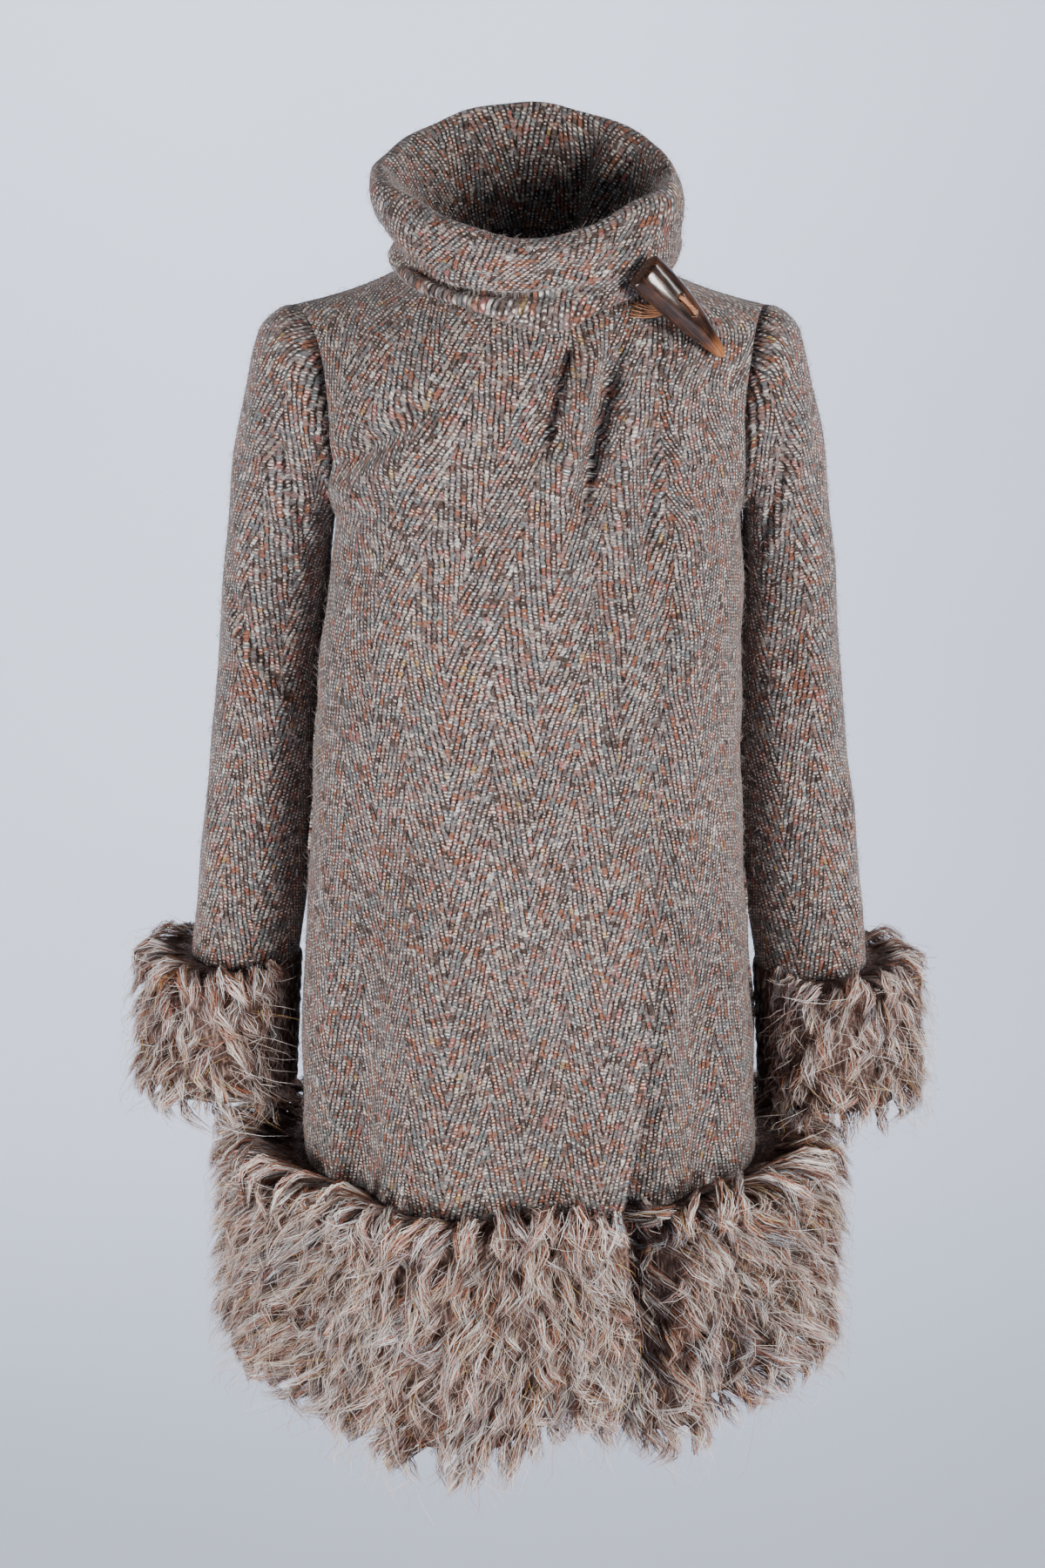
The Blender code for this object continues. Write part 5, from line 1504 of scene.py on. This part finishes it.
def lock_strands(trim, locks):
    """All strands of a trim's locks: points, faces and a colour for every point."""
    lines, outs = lock_lines(trim, locks)
    count, many = len(lines), STRANDS_PER_LOCK
    start = RANDOM.uniform(0.0, 0.22, (count, many))
    end = 1.0 - RANDOM.uniform(0.0, 0.26, (count, many)) ** 1.5 * 2
    grow = np.linspace(0, 1, STRAND_STEPS)
    t = start[..., None] + (end - start)[..., None] * grow
    # places in the lock's oval, mostly on the side that faces out, with a twist along it
    turn = (RANDOM.uniform(-0.35, math.pi + 0.35, (count, many, 1))
            + RANDOM.normal(0, 0.9, (count, 1, 1)) * (t - 0.5))
    rim = RANDOM.uniform(0.40, 1.0, (count, many, 1)) ** 0.6
    aside, proud = np.cos(turn) * rim, np.sin(turn) * rim
    middle = along_line(lines, t)
    ahead = unit(along_line(lines, t + 0.08) - along_line(lines, t - 0.08))
    out = along_line(outs, t)
    side = unit(np.cross(ahead, out))
    face = unit(np.cross(side, ahead))
    flip = np.sign(np.einsum("lsti,lsti->lst", face, out))[..., None]
    face = face * np.where(flip == 0, 1, flip)
    swell = (0.36 + 0.64 * ease(t / 0.60)) * (1 - 0.52 * ease((t - 0.74) / 0.30))
    half = locks.wide[:, None, None] / 2 * swell
    depth = 0.74 * half
    wave = (0.10 + 0.42 * t) * np.sin(t * RANDOM.uniform(6, 15, (count, many, 1))
                                      + RANDOM.uniform(0, 6.3, (count, many, 1)))
    lift = 0.30 * t * np.sin(t * 7 + RANDOM.uniform(0, 6.3, (count, many, 1)))
    centre = (middle + side * (half * (aside + wave))[..., None]
              + face * (depth * (proud + lift))[..., None])
    own_face = unit(side * (0.8 * aside)[..., None] + face * (proud + 0.15)[..., None])
    across = unit(np.cross(unit(np.gradient(centre, axis=2)), own_face))
    width = RANDOM.uniform(*STRAND_WIDE, (count, many, 1)) * STRAND_TAPER
    points, faces, _ = ribbons(centre.reshape(-1, STRAND_STEPS, 3),
                               across.reshape(-1, STRAND_STEPS, 3),
                               width.reshape(-1, STRAND_STEPS))
    return points, faces, strand_colours(proud.mean(-1), t, locks.crest > 0)


def strand_colours(proud, t, crest):
    """Cream outside and at the tips, rust and brown within. The inner strands and the strands
    towards the roots are painted darker, as painted shade of the deep pile mixed with root rust;
    the locks of the crest keep their roots hidden."""
    count, many = proud.shape
    outer = proud > 0.36 + RANDOM.normal(0, 0.22, proud.shape)
    pick = RANDOM.uniform(0, 1, proud.shape)
    kind_out = np.searchsorted(np.cumsum(OUTER_SHARES), pick).clip(0, 7)
    kind_in = np.searchsorted(np.cumsum(INNER_SHARES), pick).clip(0, 7)
    base = STRAND_COLOURS[np.where(outer, kind_out, kind_in)]
    lock_tone = RANDOM.normal(0.98, 0.22, (count, 1, 1))
    lock_tone = lock_tone * RANDOM.normal(1.0, 0.16, proud.shape)[..., None]
    warm = RANDOM.normal(0, 0.05, (count, 1, 1)) * np.array([1.0, 0.0, -1.0])
    base = base * np.clip(lock_tone + warm, 0.3, 1.8)
    rows = np.repeat(t[..., :-1], 2, axis=2)
    rows = np.concatenate([rows, t[..., -1:]], 2) + 0.28 * crest[:, None, None]
    # painted shade: the strands darken towards their roots and inside the lock, where the pile is
    # deep
    shade = 0.16 + 1.00 * ease((rows - 0.22) / 0.68)
    shade = shade * (0.40 + 0.66 * np.clip(proud, 0, 1))[..., None]
    colours = base[:, :, None, :] * shade[..., None]
    # towards the roots the colour goes over to rust: partly root rust, partly painted shade
    rust_and_shade_share = 0.72 * (1 - ease(rows / 0.78))[..., None]
    colours = colours * (1 - rust_and_shade_share) + np.array(ROOT_RUST_AND_SHADE) * rust_and_shade_share
    return np.clip(colours, 0.0, 0.95).reshape(-1, 3)


# %% Loose hairs of the pile
HAIRS_PER_LOCK = 4
HAIR_LONG, HAIR_WIDE = (0.016, 0.044), (0.00020, 0.00036)
HAIR_PROUD, HAIR_STRAY = (0.001, 0.012), 0.45
HAIR_LOWEST = 1.035         # of the tips, in shares of the drop
HAIR_STEPS = np.linspace(0.0, 1.0, 4)
HAIR_SHARES = np.array([0.36, 0.28, 0.08, 0.00, 0.10, 0.00, 0.06, 0.12])


def loose_hairs(trim, count):
    """Single hairs that stand off the pile: points, faces and a colour for every point."""
    a, q = RANDOM.uniform(0, trim.at[-1], count), RANDOM.uniform(-0.03, 0.97, count)
    depth = pile_depth(trim, a, q)
    keep = depth > 0.010
    a, q, depth = a[keep, None], q[keep, None], depth[keep, None]
    drop, size = sample(trim, trim.drop, a), a.shape
    length = RANDOM.uniform(*HAIR_LONG, size)
    fall = length * RANDOM.uniform(0.15, 1.0, size) / drop * np.where(q < 0.05, -0.35, 1.0)
    t = HAIR_STEPS[None, :]
    q = np.minimum(q + fall * t**1.4, HAIR_LOWEST)
    a = a + RANDOM.normal(0, HAIR_STRAY, size) * length * t
    a = a + 0.004 * t * np.sin(5 * t + RANDOM.uniform(0, 6.3, size))
    if not trim.closed:
        a = np.clip(a, SEAM_ENDS[0], trim.at[-1] - SEAM_ENDS[1])
    proud = RANDOM.uniform(*HAIR_PROUD, size) * np.minimum(depth / 0.03, 1.0)
    out = depth * (0.78 + 0.20 * np.sin(t * math.pi / 2)) + proud * np.sin(0.75 * math.pi * t)
    centre = pile_point(trim, a, q, out)
    flat = unit(np.cross(np.gradient(centre, axis=1), RANDOM.normal(size=(len(a), 1, 3))))
    width = RANDOM.uniform(*HAIR_WIDE, size) * np.array([0.8, 1.0, 0.8, 0.1])
    points, faces, corners = ribbons(centre, flat, width)
    kind = np.searchsorted(np.cumsum(HAIR_SHARES), RANDOM.uniform(0, 1, len(a))).clip(0, 7)
    return points, faces, np.repeat(STRAND_COLOURS[kind], corners, axis=0)


# %% Shag material and pieces
def shag_material():
    """Wool strands: each has its own colour, with a soft gloss along it."""
    made, tree, shader = new_material("shag_strands")
    colour = put(tree, "ShaderNodeAttribute", attribute_name="strand").outputs["Color"]
    place = put(tree, "ShaderNodeTexCoord").outputs["Object"]
    fleck = soft_range(tree, noise(tree, place, 900.0)[0], 0.3, 0.7, 0.86, 1.12)
    fill(tree, shader, {"Base Color": scaled(tree, colour, fleck), "Roughness": 0.66,
                        "Specular IOR Level": 0.18, "Sheen Weight": 0.10,
                        "Sheen Roughness": 0.4})
    return made


SHAG = shag_material()
TRIANGLES_MOST = 190_000
for trim in TRIMS:
    locks = lock_sites(trim)
    order = np.argsort(locks.a, kind="stable")
    per_lock = STRANDS_PER_LOCK * (2 * (STRAND_STEPS - 2) + 1)
    parts = int(np.ceil(len(order) * per_lock / TRIANGLES_MOST))
    for number, chosen in enumerate(np.array_split(order, parts)):
        part = Locks(*(values[chosen] for values in locks))
        points, faces, colours = lock_strands(trim, part)
        shag = mesh_piece(f"{trim.name}_locks_{number + 1}", points, faces, SHAG,
                          colour=colours)
        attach(shag, "root")
        print(shag.name, "locks:", len(chosen), "triangles:", len(chosen) * per_lock)
    points, faces, colours = loose_hairs(trim, HAIRS_PER_LOCK * len(order))
    hairs = mesh_piece(f"{trim.name}_hairs", points, faces, SHAG, colour=colours)
    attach(hairs, "root")

# %% [markdown]
# ## Toggle
#
# The collar is held by one toggle, a piece of polished horn 104 mm long that tapers
# downwards. It is carried as an oval along a slightly bowed line, with a rounded butt and two
# holes. The holes are pressed into the face as deep pits, which on a fine grid look drilled.

# %% Toggle measures
TOGGLE_HEAD = np.array((0.0850, -0.1137, 0.0464))
TOGGLE_TIP = np.array((0.1492, -0.0778, -0.0266))
TOGGLE_LENGTH = float(np.linalg.norm(TOGGLE_TIP - TOGGLE_HEAD))
TOGGLE_AXIS = (TOGGLE_TIP - TOGGLE_HEAD) / TOGGLE_LENGTH
TOGGLE_ASIDE = unit(np.cross(TOGGLE_AXIS, (0.35, -0.90, 0.25)))
TOGGLE_FACE = unit(np.cross(TOGGLE_ASIDE, TOGGLE_AXIS))
Cut = namedtuple("Cut", "along width thick bow")
TOGGLE = (
    Cut(0.00, 0.0148, 0.0090, 0.0000), Cut(0.03, 0.0154, 0.0093, 0.0004),
    Cut(0.14, 0.0157, 0.0096, 0.0016), Cut(0.30, 0.0150, 0.0092, 0.0030),
    Cut(0.45, 0.0136, 0.0084, 0.0038), Cut(0.60, 0.0113, 0.0072, 0.0038),
    Cut(0.75, 0.0086, 0.0058, 0.0028), Cut(0.88, 0.0061, 0.0042, 0.0014),
    Cut(0.96, 0.0040, 0.0028, 0.0004), Cut(1.00, 0.0014, 0.0011, 0.0000),
)
HOLE_ALONG, HOLE_RADIUS, HOLE_ASIDE, HOLE_DEEP = (0.34, 0.51), 0.0022, 0.0025, 0.0078
BUTT_ROUND, TIP_ROUND = 0.022, 0.012        # shares of the length in which the ends close
TOGGLE_GRAIN_RADIUS = 0.0105                # one radius for the map's way round


def toggle_point(along, proud=0.0, aside=0.0):
    """A place beside the toggle's bowed middle line, in shares of its length and metres."""
    along, proud, aside = np.broadcast_arrays(*(np.asarray(v, float)
                                                for v in (along, proud, aside)))
    out = proud + through(TOGGLE, "bow", along)
    return (TOGGLE_HEAD + TOGGLE_AXIS * (TOGGLE_LENGTH * along)[..., None]
            + TOGGLE_FACE * out[..., None] + TOGGLE_ASIDE * aside[..., None])


def toggle_grid(rows=150, columns=96):
    """Ovals along the line. Both ends close in a quarter circle, and two pits sink into the
    face. Returns the points and the map: round and along, in metres."""
    along = np.linspace(0, 1, rows)
    butt = np.sqrt(np.clip(1 - (1 - np.clip(along / BUTT_ROUND, 0, 1)) ** 2, 0.0, 1))
    tip = np.sqrt(np.clip(1 - (1 - np.clip((1 - along) / TIP_ROUND, 0, 1)) ** 2, 0.0, 1))
    close = (0.02 + 0.98 * butt * tip)[:, None]
    turn = np.linspace(0, 2 * math.pi, columns, endpoint=False)[None, :]
    aside = through(TOGGLE, "width", along)[:, None] * close * np.cos(turn)
    proud = through(TOGGLE, "thick", along)[:, None] * close * np.sin(turn)
    for hole in HOLE_ALONG:
        away = np.hypot((along[:, None] - hole) * TOGGLE_LENGTH, aside + HOLE_ASIDE)
        pit = 1 - ease((away - 0.75 * HOLE_RADIUS) / (0.5 * HOLE_RADIUS))
        proud = np.where(np.sin(turn) > 0, proud - HOLE_DEEP * pit, proud)
    points = toggle_point(along[:, None] + np.zeros_like(turn), proud, aside)
    turns = np.concatenate([turn[0], [2 * math.pi]])
    spots = np.stack(np.meshgrid(turns * TOGGLE_GRAIN_RADIUS, along * TOGGLE_LENGTH), -1)
    return points, spots


def horn_material():
    """Polished horn: dark brown with fine streaks along it, amber towards the thin tip."""
    made, tree, shader = new_material("polished_horn")
    grain = put(tree, "ShaderNodeUVMap", uv_map="grain").outputs[0]
    streak = noise(tree, scaled(tree, grain, (520.0, 34.0, 1.0)), 1.0, 5.0, 0.65, 0.4)[0]
    cloud = noise(tree, grain, 60.0, 2.0)[0]
    mixed = calc(tree, "MULTIPLY_ADD", cloud, 0.45, calc(tree, "MULTIPLY", streak, 0.75))
    dark = colour_steps(tree, mixed, (
        (0.34, (0.0045, 0.0026, 0.0022)), (0.54, (0.0170, 0.0072, 0.0044)),
        (0.68, (0.060, 0.022, 0.011)), (0.86, (0.170, 0.068, 0.030))), smooth=True)
    light = colour_steps(tree, mixed, (
        (0.30, (0.080, 0.024, 0.008)), (0.55, (0.340, 0.110, 0.030)),
        (0.80, (0.600, 0.260, 0.090))), smooth=True)
    near_tip = soft_range(tree, split(tree, grain)[1], 0.074, 0.108)
    fill(tree, shader, {
        "Base Color": mix_colour(tree, near_tip, dark, light),
        "Roughness": soft_range(tree, streak, 0.3, 0.8, 0.16, 0.26),
        "Normal": bump(tree, streak, 0.03, 0.0002), "Coat Weight": 0.35,
        "Coat Roughness": 0.08})
    return made


# %% Toggle piece
def tube_of_rings(name, points, spots, material):
    """A wrapped grid with both ends closed by one face each."""
    rows, columns = points.shape[:2]
    quads, at = grid_faces(rows, columns, wrap=True)
    ends = [np.arange(columns)[None, ::-1], np.arange(columns)[None] + (rows - 1) * columns]
    flat = spots.reshape(-1, 2)
    end_uv = [np.repeat(flat[:1], columns, 0)[None], np.repeat(flat[-1:], columns, 0)[None]]
    return mesh_piece(name, points.reshape(-1, 3), [quads] + ends, material,
                      uv=[flat[at]] + end_uv)


HORN = horn_material()
toggle_points, toggle_spots = toggle_grid()
horn = tube_of_rings("horn_toggle", toggle_points, toggle_spots, HORN)
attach(horn, "root")
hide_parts("toggle")

# %% [markdown]
# ## Threads of the toggle
#
# The toggle is tied with waxed thread through its two holes, and hangs on a loop of several loose
# threads that are sewn to the coat beside it. A thread is a round tube: a circle carried
# along its path. Thin copper-coloured threads twist round each other across the face.

# %% Tubes
TWIST_PITCH = 0.0011        # along a thread, from one turn of its twist to the next


def tubes(paths, radius, sides=6):
    """Round tubes along many paths (paths by steps by 3): points, faces and map."""
    count, steps = paths.shape[:2]
    ahead = unit(np.gradient(paths, axis=1))
    guide = np.array([0.31, 0.17, 0.94])
    one = unit(np.cross(ahead, guide))
    two = np.cross(ahead, one)
    turn = np.linspace(0, 2 * math.pi, sides, endpoint=False)
    points = (paths[:, :, None] + radius * (one[:, :, None] * np.cos(turn)[:, None]
                                            + two[:, :, None] * np.sin(turn)[:, None]))
    quads, _ = grid_faces(steps, sides, wrap=True)
    first = np.arange(count)[:, None, None] * steps * sides
    length = np.cumsum(np.linalg.norm(np.diff(paths, axis=1, prepend=paths[:, :1]), axis=-1), 1)
    spots = np.stack(np.broadcast_arrays(
        np.arange(sides) / sides * 0.003 + np.arange(count)[:, None, None] * 0.01,
        length[..., None]), -1).reshape(-1, 2)
    near = np.arange(sides)[None, :]
    caps = np.concatenate([first[:, 0] + near[:, ::-1],
                           first[:, 0] + near + (steps - 1) * sides])
    quads = (quads[None] + first).reshape(-1, 4)
    return points.reshape(-1, 3), quads, caps, spots


def thread_material():
    """Waxed copper-coloured thread: fine turns of twist across it. The colour follows the twist,
    darker in its grooves as painted shade.
    """
    made, tree, shader = new_material("copper_thread")
    grain = put(tree, "ShaderNodeUVMap", uv_map="grain").outputs[0]
    across, along, _ = split(tree, grain)
    turns = calc(tree, "MULTIPLY_ADD", across, 3.0, along)
    twist = calc(tree, "SINE", calc(tree, "MULTIPLY", turns, 2 * math.pi / TWIST_PITCH))
    own = noise(tree, grain, 160.0, 2.0)[0]
    # painted shade: the colour darkens in the grooves of the twist and lightens on its crests
    colour = colour_steps(tree, calc(tree, "MULTIPLY_ADD", twist, 0.16, own), (
        (0.30, (0.16, 0.050, 0.020)), (0.52, (0.48, 0.175, 0.070)),
        (0.74, (0.76, 0.400, 0.190))), smooth=True)
    fill(tree, shader, {"Base Color": colour, "Normal": bump(tree, twist, 0.5, 0.0002),
                        "Roughness": 0.42, "Sheen Weight": 0.15})
    return made


COPPER = thread_material()


def thread_piece(name, paths, radius, nodes, sides=6):
    """One piece of several threads that stands for CAD nodes."""
    points, quads, caps, spots = tubes(paths, radius, sides)
    made = mesh_piece(name, points, [quads, caps], COPPER, uv=[spots[quads], spots[caps]])
    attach(made, "root")
    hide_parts(*nodes)
    print(name, "threads:", len(paths))


# %% Lashing across the face
def smooth_path(points, count):
    """Smooth cubic through a few points, as many evenly spaced steps as asked for."""
    return through_rings(np.asarray(points)[:, None, :], count)[:, 0]


near, far = HOLE_ALONG
LASHING = (             # places along the toggle, and heights over its middle line
    (near, -0.0125), (near, 0.0), (near, 0.0096), (near + 0.030, 0.0106),
    ((near + far) / 2, 0.0103), (far - 0.030, 0.0098), (far, 0.0086), (far, 0.0),
    (far, -0.0125),
)
LASHING_STEPS, LASHING_TURNS, PLIES = 90, 5, 4
PLY_RADIUS, PLY_OFF = 0.00082, 0.00100      # of a ply, and of its middle from the lashing's
path = smooth_path([toggle_point(along, proud, -HOLE_ASIDE) for along, proud in LASHING],
                   LASHING_STEPS)
steps = np.linspace(0, 1, LASHING_STEPS)
plies = []
for ply in range(PLIES):
    turn = steps * 2 * math.pi * LASHING_TURNS + ply * 2 * math.pi / PLIES
    plies.append(path + PLY_OFF * (np.cos(turn)[:, None] * TOGGLE_ASIDE
                                   + np.sin(turn)[:, None] * unit(TOGGLE_FACE + TOGGLE_AXIS)))
thread_piece("lashing_threads", np.array(plies), PLY_RADIUS, ["toggle_lashing"], 7)

# %% Loose threads of the loop
STRAND_SEWN_X, STRAND_SEWN_Z, STRAND_ALONG = 0.0785, 0.012, 0.42
view = bpy.context.evaluated_depsgraph_get()
front_trees = [BVHTree.FromObject(piece, view) for piece in (front_right, front_left)]
LOOP_THREADS, LOOP_STEPS, LOOP_RADIUS = 13, 22, 0.00048
LOOP_SPREAD = 0.0050        # half the height of the bundle where it is sewn on
loop_paths = []
for k in range(LOOP_THREADS):
    rank = k / (LOOP_THREADS - 1) * 2 - 1
    seen = Vector((STRAND_SEWN_X - 0.002 * math.cos(k * 2.1), -0.3,
                   STRAND_SEWN_Z + LOOP_SPREAD * rank + 0.0006 * math.sin(k * 3.7)))
    hits = [tree.ray_cast(seen, Vector((0, 1, 0)))[0] for tree in front_trees]
    spot = np.array(min((hit for hit in hits if hit), key=lambda hit: hit.y))
    start = spot - np.array((0, 0.0010, 0))
    inside = spot + np.array((-0.0020, 0.0012, 0.0))
    aside = 0.0050 - 0.0028 * rank
    width = float(through(TOGGLE, "width", np.asarray(STRAND_ALONG)))
    thick = float(through(TOGGLE, "thick", np.asarray(STRAND_ALONG)))
    end = toggle_point(STRAND_ALONG, -thick * math.sqrt(1 - (aside / width) ** 2) - 0.0004,
                       aside)
    bend = (start + end) / 2 + np.array((0.0004 * math.sin(k * 5.1), -0.0008,
                                         -0.0016 + 0.0010 * math.sin(k * 1.9)))
    loop_paths.append(smooth_path([inside, start, bend, end], LOOP_STEPS))
thread_piece("loop_threads", np.array(loop_paths), LOOP_RADIUS,
             [f"toggle_strand_{k}" for k in (1, 2, 3, 4)], 5)

# %% [markdown]
# ## Floor and light
#
# The photograph is a studio picture: a pale blue-grey ground without a horizon and very soft
# light from both sides. A floor that curves up into a wall has no corner to show, and large area
# lights give soft shade in the folds.

# %% Floor and backdrop
FLOOR_Z, WALL_Y, COVE = -1.40, 2.4, 0.9
FLOOR_FRONT_Y, WALL_TOP_Z, HALF_WIDTH = -7.0, 4.5, 6.0
ACROSS = 5              # points across the sheet


def paper_material():
    """Pale blue-grey paper with faint clouds, and painted shade that makes it a little darker near
    the coat and to the right.

    Seen from its back it is clear, so that a look from behind the wall shows the coat.
    """
    made, tree, shader = new_material("studio_paper")
    place = put(tree, "ShaderNodeTexCoord").outputs["Object"]
    colour = colour_steps(tree, noise(tree, place, 1.6, 2.0)[0], (
        (0.30, (0.560, 0.605, 0.730)), (0.70, (0.585, 0.630, 0.760))), smooth=True)
    x, y, _ = split(tree, place)
    # painted shade: darker near the coat and to the right
    fall = calc(tree, "MULTIPLY", soft_range(tree, y, 0.7, 1.9, 0.78, 1.0),
                soft_range(tree, x, 0.0, 1.1, 1.0, 0.88))
    fill(tree, shader, {"Base Color": scaled(tree, colour, fall), "Roughness": 0.9})
    back = put(tree, "ShaderNodeNewGeometry").outputs["Backfacing"]
    clear = put(tree, "ShaderNodeBsdfTransparent").outputs[0]
    seen = put(tree, "ShaderNodeMixShader", {0: back, 1: shader.outputs[0], 2: clear})
    fill(tree, tree.nodes["Material Output"], {"Surface": seen.outputs[0]})
    return made


cove_turn = np.linspace(0, math.pi / 2, 24)
profile = np.concatenate([
    [[FLOOR_FRONT_Y, FLOOR_Z]],
    np.stack([WALL_Y - COVE + COVE * np.sin(cove_turn),
              FLOOR_Z + COVE - COVE * np.cos(cove_turn)], 1),
    [[WALL_Y, WALL_TOP_Z]]])
ground = np.stack(np.broadcast_arrays(np.linspace(-HALF_WIDTH, HALF_WIDTH, ACROSS),
                                      profile[:, :1], profile[:, 1:]), -1)
backdrop = mesh_piece("backdrop", ground.reshape(-1, 3),
                      [grid_faces(len(profile), ACROSS)[0]], paper_material())


# %% Lights
def area_light(name, place, aim, size, power, colour):
    """A soft rectangular light that looks at a point."""
    data = bpy.data.lights.new(name, "AREA")
    data.shape = "RECTANGLE"
    data.size, data.size_y = size
    data.energy = power
    data.color = colour
    light = bpy.data.objects.new(name, data)
    light.location = place
    way = Vector(aim) - Vector(place)
    light.rotation_euler = way.to_track_quat("-Z", "Y").to_euler()
    SCENE.collection.objects.link(light)


area_light("key", (2.3, -2.3, 0.00), (0.0, 0.0, -0.35), (0.8, 1.1), 132, (1.0, 0.965, 0.925))
area_light("fill", (-2.4, -2.0, -0.45), (0.0, 0.0, -0.65), (0.8, 1.1), 122, (1.0, 0.970, 0.935))
area_light("strip", (2.8, -0.6, 0.7), (0.0, 0.0, -0.20), (0.25, 1.6), 22, (1.0, 0.99, 0.97))
area_light("ground", (-0.3, 1.1, 0.50), (-0.2, 2.2, -0.95), (2.8, 0.4), 58, (0.95, 0.975, 1.0))
world = bpy.data.worlds.new("studio")
world.use_nodes = True
fill(world.node_tree, world.node_tree.nodes["Background"],
     {"Color": (0.80, 0.86, 0.95, 1.0), "Strength": 0.12})
SCENE.world = world

# %% [markdown]
# ## Cloth areas
#
# The area of one side of each cloth piece is printed.

# %% Cloth areas
def cloth_area(piece):
    """Half the surface of a closed wall, which is one side of the cloth."""
    return sum(face.area for face in piece.data.polygons) / 2


for piece in (front_right, front_left, back, sleeves["right"], sleeves["left"], collar):
    print(piece.name, "cloth area:", round(cloth_area(piece), 4))
